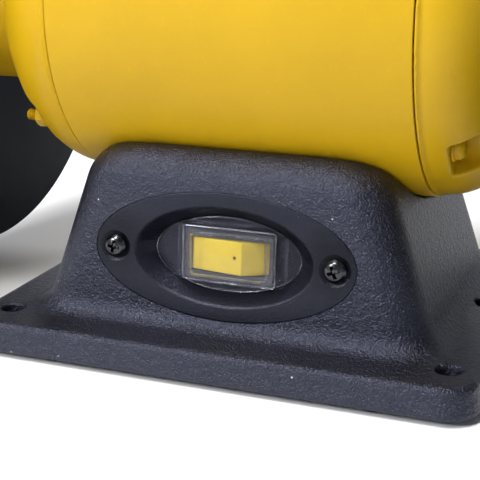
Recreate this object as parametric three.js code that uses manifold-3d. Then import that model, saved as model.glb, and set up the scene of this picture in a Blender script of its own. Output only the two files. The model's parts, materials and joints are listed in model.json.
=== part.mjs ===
// A six-inch double-ended bench grinder on a hollow cast base. Units are millimetres and +Z is up.
// The shaft runs along X, the user stands on the -Y side, and the origin is on the bench,
// under the middle of the whole machine.
import * as THREE from "three";
import Module from "manifold-3d";
import { mergeVertices } from "three/addons/utils/BufferGeometryUtils.js";

const wasm = await Module();
wasm.setup();

// ---------------------------------------------------------------- driving dimensions
const GAP = 0.3; // kept between pieces that touch
const SHAFT_HEIGHT = 112.6; // above the base's underside
const FOOT_H = 2; // the rubber feet lift the base this far off the bench
const FRONT_REACH = 126; // shaft to the tool rests' front edges
const GUARD_R = 98.7;
const SHAFT_Y = (FRONT_REACH - GUARD_R) / 2; // so that the origin is under the middle
const SHAFT_Z = FOOT_H + SHAFT_HEIGHT;

const BASE = { halfX: 87.8, depth: 148, thick: 10.4, corner: 11, flare: 1.2, toShaft: 83.1 };
const PEDESTAL = { halfX: 70.4, front: 20.3, rear: 130, corner: 14, top: 69.3, wall: 4.5 };
const SIDE_SLOPE = 0.333; // the pedestal's sides lean in by this much per millimetre of height
const FACE_SLOPE = Math.tan(THREE.MathUtils.degToRad(4)); // front and rear faces lean in 4 degrees
const TOP_ROUND = 11;
const FOOT_FILLET = 6;
const MOUNT_HOLE = { r: 4.05, x: 77.25, rows: [16.5, 81, 131.5] };

const FACE = { y: 22.06, z: 35.74, tilt: THREE.MathUtils.degToRad(4) }; // centre of the switch plate
const PLATE = { a: 45.9, b: 21.5, thick: 2.4, rimA: 31.3, rimB: 16.5, floorA: 25.4, floorB: 12.5, depth: 7 };
const PLATE_SCREW_X = 38.7;
const SWITCH = { x: 1, z: -0.5, w: 30.6, h: 16, bodyW: 29.6, bodyH: 13.2, bodyDepth: 24 };
// The boot's front and its wider foot: [left, right, bottom, top] on the plate.
const BOOT = { front: [-13.8, 19.2, -8.4, 10.3], foot: [-18.5, 20.9, -10.8, 10.9], proud: 1, wall: 0.9 };
const ROCKER = { left: -12.8, crest: 6, right: 13.9, h: 11.2 };

const MOTOR = { r: 63.5, wall: 3, seam: 61.15 };
const BELL = { shoulderX: 63, axial: 30.5, radial: 43.6, r: 62.4, neckR: 32.4, end: 122.5, wall: 3.5 };
const BOLT = { r: 2, circle: 54.9, angle: 45.1, headSeat: 70, nutSeat: 75.7, pocket: 8.5, tip: 83.4 };
const STATOR = { inner: 33, half: 28, windingX: 45 };
const BEARING = { outer: 17.5, inner: 7.6, x0: 107.9, x1: 118.9 };
const ARBOR = { r: 6.2, journal: 7.3, shoulder: 126.2, end: 164.2 };
const WHEEL = { r: 75, bore: 6.5, x0: 131.8, width: 20 };
const GUARD = {
  x0: 122.8, plate: 2.5, wall: 2.5, x1: 164.9, cover: 2.5, openFrom: -12, openTo: 50, openR: 66,
};
const COVER_SCREWS = [105, 180, 255]; // degrees round from the front, over the top
const REST = { gap: 3.5, halfX: 28, thick: 5, pivotY: -106, pivotZ: -14, boltY: -82, boltZ: -32, slide: 12 };
const STRIP = { x0: 119.4, x1: 122.4 }; // plane of the flat steel strips beside each guard
const SHIELD = { y: -52, z: 104, slope: -35, width: 90, length: 84, thick: 3 };
const SPARK = { angle: 48.4, r0: 77.2, r1: 104, halfX: 17, thick: 2 };

const WHEEL_X = WHEEL.x0 + WHEEL.width / 2;
const ROUND = 28; // sides of a large turned piece
const MEDIUM = 18;
const SMALL = 10;

// ---------------------------------------------------------------- materials
const paint = (color, roughness, metalness = 0) => ({ color, roughness, metalness });
const FINISH = {
  base_paint: paint(0x2b2c36, 0.62),
  motor_paint: paint(0xd9ab1c, 0.38),
  guard_paint: paint(0x23252e, 0.42),
  black_plastic: paint(0x1b1b1d, 0.5),
  clear_boot: paint(0x9aa0a8, 0.15),
  rocker_yellow: paint(0xe6cf3f, 0.35),
  black_screw: paint(0x26262a, 0.3, 0.8),
  zinc: paint(0xb4b4ae, 0.35, 0.9),
  rubber: paint(0x141416, 0.85),
  abrasive_coarse: paint(0x77787a, 0.95),
  abrasive_fine: paint(0x8b8c8e, 0.95),
  shield_clear: paint(0xd8e4ea, 0.08),
  laminations: paint(0x6d6f73, 0.5, 0.7),
  copper: paint(0xa85a2a, 0.4, 0.6),
  ground_steel: paint(0xa0a2a6, 0.25, 0.9),
  cast_rest: paint(0x9a9b9d, 0.45, 0.7),
};

// ---------------------------------------------------------------- solids
function solid(geometry) {
  const bare = geometry.clone();
  bare.deleteAttribute("normal");
  bare.deleteAttribute("uv");
  const merged = mergeVertices(bare, 1e-4);
  const p = merged.attributes.position;
  const triangles = [];
  let volume = 0;
  const [a, b, c] = [new THREE.Vector3(), new THREE.Vector3(), new THREE.Vector3()];
  for (let i = 0; i < merged.index.count; i += 3) {
    const t = [0, 1, 2].map((k) => merged.index.getX(i + k));
    if (new Set(t).size < 3) continue;
    triangles.push(t);
    [a, b, c].forEach((v, k) => v.fromBufferAttribute(p, t[k]));
    volume += a.dot(b.cross(c));
  }
  if (volume < 0) triangles.forEach((t) => t.reverse());
  const mesh = new wasm.Mesh({
    numProp: 3,
    vertProperties: new Float32Array(p.array),
    triVerts: new Uint32Array(triangles.flat()),
  });
  return new wasm.Manifold(mesh);
}

function toGeometry(manifold) {
  const mesh = manifold.getMesh();
  const geometry = new THREE.BufferGeometry();
  geometry.setAttribute("position", new THREE.BufferAttribute(mesh.vertProperties, 3));
  geometry.setIndex(new THREE.BufferAttribute(mesh.triVerts, 1));
  geometry.computeVertexNormals();
  return geometry;
}

const join = (first, ...others) => others.reduce((whole, next) => whole.add(next), first);
const cut = (first, ...tools) => tools.reduce((rest, tool) => rest.subtract(tool), first);

function block([x0, x1], [y0, y1], [z0, z1]) {
  const geometry = new THREE.BoxGeometry(Math.abs(x1 - x0), Math.abs(y1 - y0), Math.abs(z1 - z0));
  return solid(geometry.translate((x0 + x1) / 2, (y0 + y1) / 2, (z0 + z1) / 2));
}

// Turned about the X axis; profile points are [x, radius].
function turned(profile, sides = ROUND) {
  const points = profile.map(([x, r]) => new THREE.Vector2(r, x));
  const [first, last] = [points[0], points[points.length - 1]];
  if (first.x > 0 || last.x > 0) points.push(first.clone());
  return solid(new THREE.LatheGeometry(points, sides).rotateZ(-Math.PI / 2));
}

// A cylinder along X between x0 and x1, centred on (y, z).
function rod(x0, x1, r, y = 0, z = 0, sides = SMALL) {
  const geometry = new THREE.CylinderGeometry(r, r, Math.abs(x1 - x0), sides).rotateZ(Math.PI / 2);
  return solid(geometry.translate((x0 + x1) / 2, y, z));
}

// A cylinder along Z.
function post(x, y, z0, z1, r, sides = SMALL) {
  const geometry = new THREE.CylinderGeometry(r, r, z1 - z0, sides).rotateX(Math.PI / 2);
  return solid(geometry.translate(x, y, (z0 + z1) / 2));
}

// A flat strip in the YZ plane with round ends at p and q, between x0 and x1.
function strip(x0, x1, p, q, r, curveSegments = 4) {
  const angle = Math.atan2(q[1] - p[1], q[0] - p[0]);
  const shape = new THREE.Shape();
  shape.absarc(q[0], q[1], r, angle - Math.PI / 2, angle + Math.PI / 2, false);
  shape.absarc(p[0], p[1], r, angle + Math.PI / 2, angle + 1.5 * Math.PI, false);
  return alongX(shape, x0, x1, curveSegments);
}

// A shape drawn in (y, z), extruded from x0 to x1.
function alongX(shape, x0, x1, curveSegments = 8) {
  const depth = Math.abs(x1 - x0);
  const geometry = new THREE.ExtrudeGeometry(shape, { depth, bevelEnabled: false, curveSegments });
  const toYZ = new THREE.Matrix4().makeBasis(
    new THREE.Vector3(0, 1, 0), new THREE.Vector3(0, 0, 1), new THREE.Vector3(1, 0, 0));
  return solid(geometry.applyMatrix4(toYZ).translate(Math.min(x0, x1), 0, 0));
}

function roundedRect(halfX, y0, y1, r) {
  const shape = new THREE.Shape();
  shape.absarc(halfX - r, y0 + r, r, -Math.PI / 2, 0, false);
  shape.absarc(halfX - r, y1 - r, r, 0, Math.PI / 2, false);
  shape.absarc(-halfX + r, y1 - r, r, Math.PI / 2, Math.PI, false);
  shape.absarc(-halfX + r, y0 + r, r, Math.PI, 1.5 * Math.PI, false);
  return shape;
}

// A stack of levels [z, outward offset in x, offset of the front, offset of the rear] on one outline.
function stacked(halfX, front, rear, corner, levels) {
  const outline = roundedRect(halfX, front, rear, corner);
  const depth = levels.length - 1;
  const options = { depth, steps: depth, bevelEnabled: false, curveSegments: 3 };
  const geometry = new THREE.ExtrudeGeometry(outline, options);
  const p = geometry.attributes.position;
  const [midY, halfY] = [(front + rear) / 2, (rear - front) / 2];
  for (let i = 0; i < p.count; i += 1) {
    const [z, dx, dFront, dRear] = levels[Math.round(p.getZ(i))];
    const share = (p.getY(i) - midY) / halfY;
    const dy = share < 0 ? dFront : dRear;
    p.setXYZ(i, p.getX(i) * (1 + dx / halfX), p.getY(i) + share * dy, z);
  }
  return solid(geometry);
}

// ---------------------------------------------------------------- base
// The pedestal's plain leaning walls at height z: [z, x offset, front offset, rear offset].
function leaningLevel(z, inset) {
  const up = Math.max(0, z - BASE.thick);
  const side = -up * SIDE_SLOPE - inset;
  const face = -up * FACE_SLOPE - inset;
  return [z, side, face, face];
}

// The same with the fillet at its foot and the rounding at its top.
function pedestalLevel(z) {
  const low = Math.min(FOOT_FILLET, Math.max(0, FOOT_FILLET - (z - BASE.thick)));
  const high = Math.max(0, z - (PEDESTAL.top - TOP_ROUND));
  const arc = (radius, height) => radius - Math.sqrt(Math.max(0, radius ** 2 - height ** 2));
  const swell = arc(FOOT_FILLET, low) - arc(TOP_ROUND, high);
  return leaningLevel(z, 0).map((value, k) => (k === 0 ? z : value + swell));
}

function pedestal(levels) {
  return stacked(PEDESTAL.halfX, PEDESTAL.front, PEDESTAL.rear, PEDESTAL.corner, levels);
}

const faceMatrix = new THREE.Matrix4()
  .makeRotationX(-FACE.tilt)
  .setPosition(0, FACE.y, FACE.z);

// An ellipse drawn on the switch plate's plane, from depth out0 to depth out1 (outward is positive).
function oval(a, b, out0, out1) {
  const shape = new THREE.Shape();
  shape.absellipse(0, 0, a, b, 0, 2 * Math.PI, false, 0);
  const options = { depth: out1 - out0, bevelEnabled: false, curveSegments: 14 };
  return solid(new THREE.ExtrudeGeometry(shape, options).rotateX(Math.PI / 2).translate(0, -out0, 0));
}

const onFace = (manifold) => manifold.transform(faceMatrix.toArray());
const motorBarrel = (r) =>
  turned([[-130, 0], [-130, r], [130, r], [130, 0]]).translate(0, BASE.toShaft, SHAFT_HEIGHT);

function baseCasting() {
  const { halfX, depth, thick, corner, flare } = BASE;
  const flange = stacked(halfX, flare, depth - flare, corner, [
    [0, flare, flare, flare],
    [thick - 1.5, 0.2, 0.2, 0.2],
    [thick - 0.4, -0.4, -0.4, -0.4],
    [thick, -1.5, -1.5, -1.5],
  ]);
  const outerHeights = [thick - 2, thick, 11.4, 13, 16.4, 58.3, 63, 66.8, 68.6, 69.3];
  const innerHeights = [-1, thick, 63];
  const outside = pedestal(outerHeights.map(pedestalLevel));
  const innerWalls = pedestal(innerHeights.map((z) => leaningLevel(z, PEDESTAL.wall)));
  const inside = cut(innerWalls, motorBarrel(MOTOR.r + 5));
  const rebate = stacked(74, 16, 134, 10, [[-1, 0, 0, 0], [2.3, 0, 0, 0]]);
  const holes = MOUNT_HOLE.rows.flatMap((y) =>
    [-1, 1].map((side) => post(side * MOUNT_HOLE.x, y, -1, thick + 1, MOUNT_HOLE.r)));
  const footHoles = footPlaces().map(([x, y]) => post(x, y, -1, 5, 2.6, 12));
  const platePocket = onFace(oval(PLATE.a + 0.4, PLATE.b + 0.4, -PLATE.thick - GAP, 20));
  const trayHole = onFace(oval(PLATE.rimA + 1.4, PLATE.rimB + 1.4, -20, 1));
  const screwHoles = [-1, 1].map((side) => onFace(rodOut(side * PLATE_SCREW_X, 0, -14, 1, 1.9)));
  const glandHole = rodBack(GLAND.x, GLAND.z, PEDESTAL.rear - 30, PEDESTAL.rear + 20, 6.4);
  const wireHole = post(0, BASE.toShaft, 35, 60, 7);
  return cut(join(flange, outside), inside, rebate, motorBarrel(MOTOR.r + GAP), ...holes, ...footHoles,
    platePocket, trayHole, ...screwHoles, glandHole, wireHole);
}

// A cylinder along the switch plate's normal, in the plate's frame.
function rodOut(x, z, out0, out1, r, sides = 16) {
  const geometry = new THREE.CylinderGeometry(r, r, out1 - out0, sides);
  return solid(geometry.translate(x, -(out0 + out1) / 2, z));
}

// A cylinder along Y in the base's frame.
function rodBack(x, z, y0, y1, r, sides = SMALL) {
  return solid(new THREE.CylinderGeometry(r, r, y1 - y0, sides).translate(x, (y0 + y1) / 2, z));
}

function footPlaces() {
  const inset = 12;
  const rows = [inset, BASE.depth - inset];
  return rows.flatMap((y) => [-56, 56].map((x) => [x, y]));
}

function foot([x, y]) {
  const pad = post(x, y, -FOOT_H, -0.2, 8, SMALL);
  return join(pad, post(x, y, -0.5, 4.6, 2.3, 12));
}

function bottomCover() {
  const sheet = stacked(73.6, 16.4, 133.6, 9.6, [[0.4, 0, 0, 0], [2, 0, 0, 0]]);
  const slots = [-30, -15, 0, 15, 30].map((x) => block([x - 2, x + 2], [60, 95], [-1, 3]));
  return cut(sheet, ...slots, ...footPlaces().map(([x, y]) => post(x, y, -1, 3, 8.6)));
}

// ---------------------------------------------------------------- switch
function switchPlate() {
  const { a, b, thick, rimA, rimB, floorA, floorB, depth } = PLATE;
  const face = oval(a, b, -thick, 0);
  const tray = funnel(rimA + 1, rimB + 1, floorA + 1.2, floorB + 1.2, -thick, -depth - 1.8);
  const hollow = funnel(rimA, rimB, floorA, floorB, 0.01, -depth);
  const opening = faceBox(SWITCH.bodyW + 0.8, SWITCH.bodyH + 0.8, -depth - 4, -depth + 1);
  const pads = [-1, 1].map((side) => rodOut(side * PLATE_SCREW_X, 0, -0.5, 1, 5.2));
  const holes = [-1, 1].map((side) => rodOut(side * PLATE_SCREW_X, 0, -thick - 1, 1, 2.2));
  return cut(join(face, tray), hollow, opening, ...pads, ...holes);
}

// An oval tapering from (a0, b0) at depth out0 to (a1, b1) at depth out1.
function funnel(a0, b0, a1, b1, out0, out1) {
  const geometry = new THREE.CylinderGeometry(1, 1, 1, 28, 1);
  const p = geometry.attributes.position;
  for (let i = 0; i < p.count; i += 1) {
    const outer = p.getY(i) < 0;
    const [a, b] = outer ? [a0, b0] : [a1, b1];
    p.setXYZ(i, p.getX(i) * a, outer ? -out0 : -out1, p.getZ(i) * b);
  }
  return solid(geometry);
}

// A box level with the switch, centred on x, w wide and h high, from depth out0 to depth out1.
function faceBox(w, h, out0, out1) {
  const { x, z } = SWITCH;
  return block([x - w / 2, x + w / 2], [-out1, -out0], [z - h / 2, z + h / 2]);
}

function plateScrew(side) {
  const x = side * PLATE_SCREW_X;
  const profile = [[-0.4, 0], [-0.4, 4], [0.6, 4], [1.6, 3.4], [2.3, 2.2], [2.5, 0]];
  const head = turned(profile, 16).transform(outward(x, 0));
  return join(head, rodOut(x, 0, -10, 0, 1.7, 12));
}

// Turns the X axis to the plate's outward normal and moves it to (x, z) on the plate.
function outward(x, z) {
  return new THREE.Matrix4().makeRotationZ(-Math.PI / 2).setPosition(x, 0, z).toArray();
}

function switchBody() {
  const floor = -PLATE.depth;
  const bezel = faceBox(SWITCH.w, SWITCH.h, floor + 1.2, floor + 2.8);
  const body = faceBox(SWITCH.bodyW, SWITCH.bodyH, floor - SWITCH.bodyDepth, floor + 1.4);
  const well = faceBox(SWITCH.bodyW - 1.4, ROCKER.h + 0.8, floor - 10, floor + 4);
  const tabs = [-8, 0, 8].map((x) =>
    faceBox(0.8, 6.3, floor - SWITCH.bodyDepth - 8, floor - SWITCH.bodyDepth + 1).translate(x, 0, 0));
  return join(cut(join(bezel, body), well), ...tabs);
}

// The rocker's section seen from above: its left end is pressed in, so the long face rises to a crest
// on the right, and the right end drops steeply into the body. The second numbers are depths.
function rocker() {
  const { left, crest, right, h } = ROCKER;
  const outline = [[left, 5.6], [crest, 2.3], [right, 7.9], [right - 0.3, 9.6], [SWITCH.x, 14.5], [left, 9]];
  const shape = new THREE.Shape(outline.map(([x, depth]) => new THREE.Vector2(x, depth)));
  const geometry = new THREE.ExtrudeGeometry(shape, { depth: h, bevelEnabled: false });
  return solid(geometry.translate(0, 0, SWITCH.z - h / 2));
}

// A box on the switch plate that tapers between two sets of sides, each [left, right, bottom, top].
function taperedBox(out0, sides0, out1, sides1) {
  const geometry = new THREE.BoxGeometry(1, 1, 1);
  const p = geometry.attributes.position;
  for (let i = 0; i < p.count; i += 1) {
    const front = p.getY(i) < 0;
    const [left, right, bottom, top] = front ? sides1 : sides0;
    p.setXYZ(i, p.getX(i) < 0 ? left : right, front ? -out1 : -out0, p.getZ(i) < 0 ? bottom : top);
  }
  return solid(geometry);
}

function switchBoot() {
  const floor = -PLATE.depth;
  const { front, foot, proud, wall } = BOOT;
  const inset = ([left, right, bottom, top]) => [left + wall, right - wall, bottom + wall, top - wall];
  const skirt = oval(PLATE.floorA - 0.5, PLATE.floorB - 0.5, floor + 0.1, floor + 0.9);
  const shell = taperedBox(floor + 0.1, foot, proud, front);
  const inside = taperedBox(floor + 0.9, inset(foot), proud - wall, inset(front));
  const opening = faceBox(SWITCH.bodyW + 0.6, SWITCH.bodyH + 0.6, floor - 1, floor + 2);
  const bowl = funnel(PLATE.rimA - 0.4, PLATE.rimB - 0.4, PLATE.floorA - 0.4, PLATE.floorB - 0.4, 0, floor);
  const room = join(bowl, oval(PLATE.rimA - 0.4, PLATE.rimB - 0.4, -0.01, proud + 1));
  return cut(join(skirt, shell).intersect(room), inside, opening);
}

// ---------------------------------------------------------------- things in and on the base
const GLAND = { x: -34, z: 30 };

function cordGland() {
  const wallY = PEDESTAL.rear - (GLAND.z - BASE.thick) * FACE_SLOPE;
  const collar = rodBack(GLAND.x, GLAND.z, wallY + 1, wallY + 4.5, 9, 6);
  const stem = rodBack(GLAND.x, GLAND.z, wallY - 9, wallY + 2, 6);
  const dome = rodBack(GLAND.x, GLAND.z, wallY + 2, wallY + 11, 7);
  return cut(join(collar, stem, dome), rodBack(GLAND.x, GLAND.z, wallY - 12, wallY + 14, 3.6, 12));
}

const capacitor = () => join(rod(-28, 26, 15, 88, 22), rod(25, 30, 12, 88, 22));

// ---------------------------------------------------------------- motor
const boltPlaces = () => [
  ["lower_front", -1, -1], ["upper_front", -1, 1], ["lower_rear", 1, -1], ["upper_rear", 1, 1],
].map(([name, ySide, zSide]) => {
  const angle = THREE.MathUtils.degToRad(BOLT.angle);
  return { name, y: ySide * BOLT.circle * Math.cos(angle), z: zSide * BOLT.circle * Math.sin(angle) };
});

function motorShell() {
  const { r, wall, seam } = MOTOR;
  const end = seam - 0.15;
  const tube = turned([[-end, r], [-end, r - wall], [end, r - wall], [end, r]]);
  const wireHole = new THREE.CylinderGeometry(7, 7, 20, SMALL).rotateX(Math.PI / 2);
  return cut(tube, solid(wireHole.translate(0, 0, -r)));
}

// The bell's shoulder, from the seam to the neck: [x, r] points on a quarter ellipse set in by a wall.
function shoulder(wall, count) {
  const { shoulderX, axial, radial, r, neckR } = BELL;
  const [a, b, centre] = [axial - wall, radial - wall, r - radial];
  const last = Math.acos((neckR - wall - centre) / b);
  return Array.from({ length: count }, (_, k) => {
    const t = (last * k) / (count - 1);
    return [shoulderX + a * Math.sin(t), centre + b * Math.cos(t)];
  });
}

// A bell drawn for the right-hand side, whose bolt pockets are cut back to seat.
function endBell(seat) {
  const { wall, end, neckR } = BELL;
  const start = MOTOR.seam + 0.15;
  const spigot = MOTOR.r - MOTOR.wall - GAP;
  const outside = turned([[start - 4, 0], [start - 4, spigot], [start, spigot], [start, MOTOR.r],
    [start + 0.9, MOTOR.r - 0.4], ...shoulder(0, 6), [end, neckR], [end, 0]]);
  const hollow = turned([[start - 5, 0], [start - 5, 57], ...shoulder(wall, 4),
    [104, neckR - wall], [104, BEARING.outer + GAP], [BEARING.x1 + 0.2, BEARING.outer + GAP],
    [BEARING.x1 + 0.2, 10], [end + 1, 10], [end + 1, 0]]);
  const bosses = boltPlaces().map(({ y, z }) => rod(start - 4, 92, BOLT.pocket + 2, y, z));
  const pockets = boltPlaces().map(({ y, z }) => {
    const out = 1.4;
    return strip(seat, 100, [y, z], [y * out, z * out], BOLT.pocket);
  });
  const holes = boltPlaces().map(({ y, z }) => rod(40, 100, BOLT.r + GAP, y, z, 12));
  const windingRoom = turned([[50, 0], [50, 53], [66, 53], [66, 0]]);
  const inside = join(cut(hollow, ...bosses), windingRoom);
  return cut(outside, inside, ...pockets, ...holes);
}

function throughBolt({ y, z }) {
  const [seat, nutSeat] = [BOLT.headSeat + GAP, BOLT.nutSeat + GAP];
  const shank = rod(-BOLT.tip, seat + 1, BOLT.r, y, z, 12);
  const profile = [[seat, 0], [seat, 4.5], [seat + 0.9, 4.5], [seat + 0.9, 3.6], [seat + 3.1, 3.4],
    [seat + 3.9, 2.2], [seat + 3.9, 0]];
  const head = turned(profile, 12).translate(0, y, z);
  const nut = rod(-nutSeat - 3.2, -nutSeat, 4.04, y, z, 6);
  return join(shank, head, nut);
}

function statorCore() {
  const { inner, half } = STATOR;
  const outer = MOTOR.r - MOTOR.wall - GAP;
  const ring = turned([[-half, outer], [-half, inner], [half, inner], [half, outer]]);
  return cut(ring, ...boltPlaces().map(({ y, z }) => rod(-half - 1, half + 1, BOLT.r + 0.8, y, z, 12)));
}

function winding(side) {
  const [x0, x1] = [STATOR.half + GAP, STATOR.windingX];
  return turned([[x0, 50], [x0, 36], [x1 - 3, 36], [x1, 39], [x1, 47], [x1 - 3, 50]]
    .map(([x, r]) => [side * x, r]), MEDIUM);
}

function rotorCore() {
  const profile = [[-34, 31], [-34, 24], [-28, 22], [-28, 12.3], [28, 12.3], [28, 22], [34, 24], [34, 31]];
  return turned([...profile, [28.5, 32.4], [-28.5, 32.4]], MEDIUM);
}

function shaft() {
  const { r, journal, shoulder: step, end } = ARBOR;
  const half = [[end, 0], [end, r - 0.8], [end - 0.8, r], [step, r], [step, journal],
    [BEARING.x0 - GAP, journal], [BEARING.x0 - GAP, 9.5], [60, 9.5], [60, 12]];
  const other = half.map(([x, radius]) => [-x, radius]).reverse();
  return turned([...half, ...other], MEDIUM);
}

function bearing(side) {
  const { outer, inner, x0, x1 } = BEARING;
  return turned([[x0, outer], [x0, inner], [x1, inner], [x1, outer]].map(([x, r]) => [side * x, r]), MEDIUM);
}

// ---------------------------------------------------------------- wheels (drawn for the right-hand side)
function grindingWheel() {
  const { r, bore, x0, width } = WHEEL;
  const x1 = x0 + width;
  return turned([[x0, r - 1], [x0, bore], [x1, bore], [x1, r - 1], [x1 - 1, r], [x0 + 1, r]]);
}

function innerFlange() {
  const x1 = WHEEL.x0 - GAP;
  const x0 = ARBOR.shoulder + GAP;
  const profile = [[x0, 12], [x0, 6.5], [x1 - 1, 6.5], [x1 - 1, 18], [x1, 18], [x1, 25], [x1 - 2.5, 25]];
  return turned(profile, MEDIUM);
}

function outerFlange() {
  const x0 = WHEEL.x0 + WHEEL.width + GAP;
  const x1 = x0 + 4;
  const profile = [[x0, 25], [x0, 18], [x0 + 1, 18], [x0 + 1, 6.5], [x1, 6.5], [x1, 12], [x1 - 1.5, 25]];
  return turned(profile, MEDIUM);
}

function arborNut() {
  const x0 = WHEEL.x0 + WHEEL.width + 4 + 2 * GAP;
  return cut(rod(x0, x0 + 6.5, 10.9, 0, 0, 6), rod(x0 - 1, x0 + 8, ARBOR.r + GAP, 0, 0, MEDIUM));
}

// ---------------------------------------------------------------- guards (right-hand side)
// Everything beyond openR between two angles, measured up from the front; the mouth of the guard.
function mouth(x0, x1, r0) {
  const [from, to] = [GUARD.openFrom, GUARD.openTo].map((deg) => Math.PI - THREE.MathUtils.degToRad(deg));
  const far = GUARD_R + 30;
  const shape = new THREE.Shape();
  shape.absarc(0, 0, r0, from, to, true);
  shape.lineTo(far * Math.cos(to), far * Math.sin(to));
  const middle = (from + to) / 2;
  shape.lineTo(far * 1.3 * Math.cos(middle), far * 1.3 * Math.sin(middle));
  shape.lineTo(far * Math.cos(from), far * Math.sin(from));
  shape.closePath();
  return alongX(shape, x0, x1, 6);
}

const coverScrewPlace = (deg) => {
  const angle = Math.PI - THREE.MathUtils.degToRad(deg);
  return [(GUARD_R - 9) * Math.cos(angle), (GUARD_R - 9) * Math.sin(angle)];
};

function guard() {
  const { x0, x1, plate, wall, openR } = GUARD;
  const cup = turned([[x0, GUARD_R - 0.6], [x0, 15], [x0 + plate, 15], [x0 + plate, GUARD_R - wall],
    [x1, GUARD_R - wall], [x1, GUARD_R], [x0 + 0.6, GUARD_R]], 40);
  const open = cut(cup, mouth(x0 - 5, x1 + 5, openR));
  const lugs = COVER_SCREWS.map((deg) => rod(x0 + 1, x1, 5, ...coverScrewPlace(deg), 12));
  const tab = radialPlate(SPARK.angle + 3.2, GUARD_R - wall - 0.4, GUARD_R + 11, SPARK.halfX, 2.6);
  const restHole = rod(x0 - 1, x0 + 9, 3.4, REST.boltY, REST.boltZ, 12);
  const screwHoles = COVER_SCREWS.map((deg) => rod(x1 - 10, x1 + 1, 1.9, ...coverScrewPlace(deg), 12));
  return cut(join(open, ...lugs, tab), restHole, ...screwHoles);
}

// A flat plate that lies along a radius, at an angle up from the front, centred on the wheel's width.
function radialPlate(deg, r0, r1, halfX, thick) {
  const plate = block([WHEEL_X - halfX, WHEEL_X + halfX], [-r1, -r0], [-thick / 2, thick / 2]);
  return plate.rotate([-deg, 0, 0]);
}

function guardCover() {
  const x0 = GUARD.x1 + GAP;
  const x1 = x0 + GUARD.cover;
  const disc = turned([[x0, 0], [x0, GUARD_R], [x1 - 1, GUARD_R], [x1, GUARD_R - 1], [x1, 0]], 40);
  const screwHoles = COVER_SCREWS.map((deg) => rod(x0 - 1, x1 + 1, 2.2, ...coverScrewPlace(deg), 12));
  return cut(disc, mouth(x0 - 5, x1 + 5, GUARD.openR), ...screwHoles);
}

function coverScrew(deg) {
  const x1 = GUARD.x1 + GAP + GUARD.cover;
  const [y, z] = coverScrewPlace(deg);
  const profile = [[x1 + GAP, 0], [x1 + GAP, 4], [x1 + 1.4, 4], [x1 + 2.6, 2.6], [x1 + 2.9, 0]];
  const head = turned(profile, 16).translate(0, y, z);
  return join(head, rod(x1 - 9, x1 + 1, 1.6, y, z, 10));
}

// ---------------------------------------------------------------- tool rests (right-hand side)
function restBracket() {
  const { pivotY, pivotZ, boltY, boltZ, slide } = REST;
  const [x0, x1] = [STRIP.x0, STRIP.x1];
  const arm = strip(x0, x1, [pivotY, pivotZ], [boltY, boltZ], 8);
  const foot_ = strip(x0, x1, [boltY, boltZ], [boltY + slide, boltZ], 9);
  const slot = strip(x0 - 1, x1 + 1, [boltY, boltZ], [boltY + slide, boltZ], 3.4);
  const pin = rod(x0 - 3, GUARD.x0 + 6.4, 2.7, pivotY, pivotZ, 16);
  const pinHead = rod(x0 - 4, x0 + 1, 5, pivotY, pivotZ, 6);
  return join(cut(join(arm, foot_), slot), pin, pinHead);
}

function toolRest() {
  const { gap, halfX, thick, pivotY, pivotZ } = REST;
  const back = -WHEEL.r - gap;
  const top = -1;
  const shape = new THREE.Shape();
  const [x0, x1, r] = [WHEEL_X - halfX, WHEEL_X + halfX, 6];
  shape.absarc(x0 + r, -FRONT_REACH + r, r, Math.PI, 1.5 * Math.PI, false);
  shape.absarc(x1 - r, -FRONT_REACH + r, r, 1.5 * Math.PI, 2 * Math.PI, false);
  shape.lineTo(x1, back);
  shape.lineTo(x0, back);
  const options = { depth: thick, bevelEnabled: false, curveSegments: 3 };
  const plate = solid(new THREE.ExtrudeGeometry(shape, options).translate(0, 0, top - thick));
  const ear0 = STRIP.x1 + 0.5;
  const ear1 = ear0 + 5;
  const ear = strip(ear0, ear1, [pivotY, pivotZ], [pivotY, top - thick - 1], 7);
  const groove = block([WHEEL_X - 1.5, WHEEL_X + 1.5], [-FRONT_REACH - 1, back - 8], [top - 1.2, top + 1]);
  const headroom = block([ear0 - 1, ear1 + 1], [pivotY - 9, pivotY + 9], [top, top + 12]);
  return cut(join(plate, cut(ear, headroom)), rod(ear0 - 1, ear1 + 1, 3, pivotY, pivotZ, 16), groove);
}

// A lobed clamping knob on a shank, about an X axis at (y, z), from x0 out to the grip's far end.
function knob(y, z, grip0, grip1, shankEnd, r) {
  const lobes = 6;
  const shape = new THREE.Shape();
  const count = lobes * 4;
  const points = Array.from({ length: count }, (_, k) => {
    const t = (2 * Math.PI * k) / count;
    const radius = r * (0.9 + 0.1 * Math.cos(lobes * t));
    return new THREE.Vector2(y + radius * Math.cos(t), z + radius * Math.sin(t));
  });
  shape.setFromPoints(points);
  return join(alongX(shape, grip0, grip1), rod(grip1 - 1, shankEnd, 2.8, y, z, 12));
}

const restKnob = () => knob(REST.boltY, REST.boltZ, STRIP.x0 - 14, STRIP.x0 - GAP, GUARD.x0 + 8, 12);
const shieldKnob = () => knob(SHIELD.y, SHIELD.z, STRIP.x0 - 12, STRIP.x0 - GAP, GUARD.x0 + 6.5, 10);

// ---------------------------------------------------------------- sparks and shields (right-hand side)
function sparkArrestor() {
  const { angle, r0, r1, halfX, thick } = SPARK;
  const plate = radialPlate(angle, r0, r1, halfX, thick);
  const slots = [-9, 9].map((x) => {
    const slot = block([WHEEL_X + x - 2, WHEEL_X + x + 2], [-r1 + 2, -r0 - 8], [-3, 3]);
    return slot.rotate([-angle, 0, 0]);
  });
  return cut(plate, ...slots);
}

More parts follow.
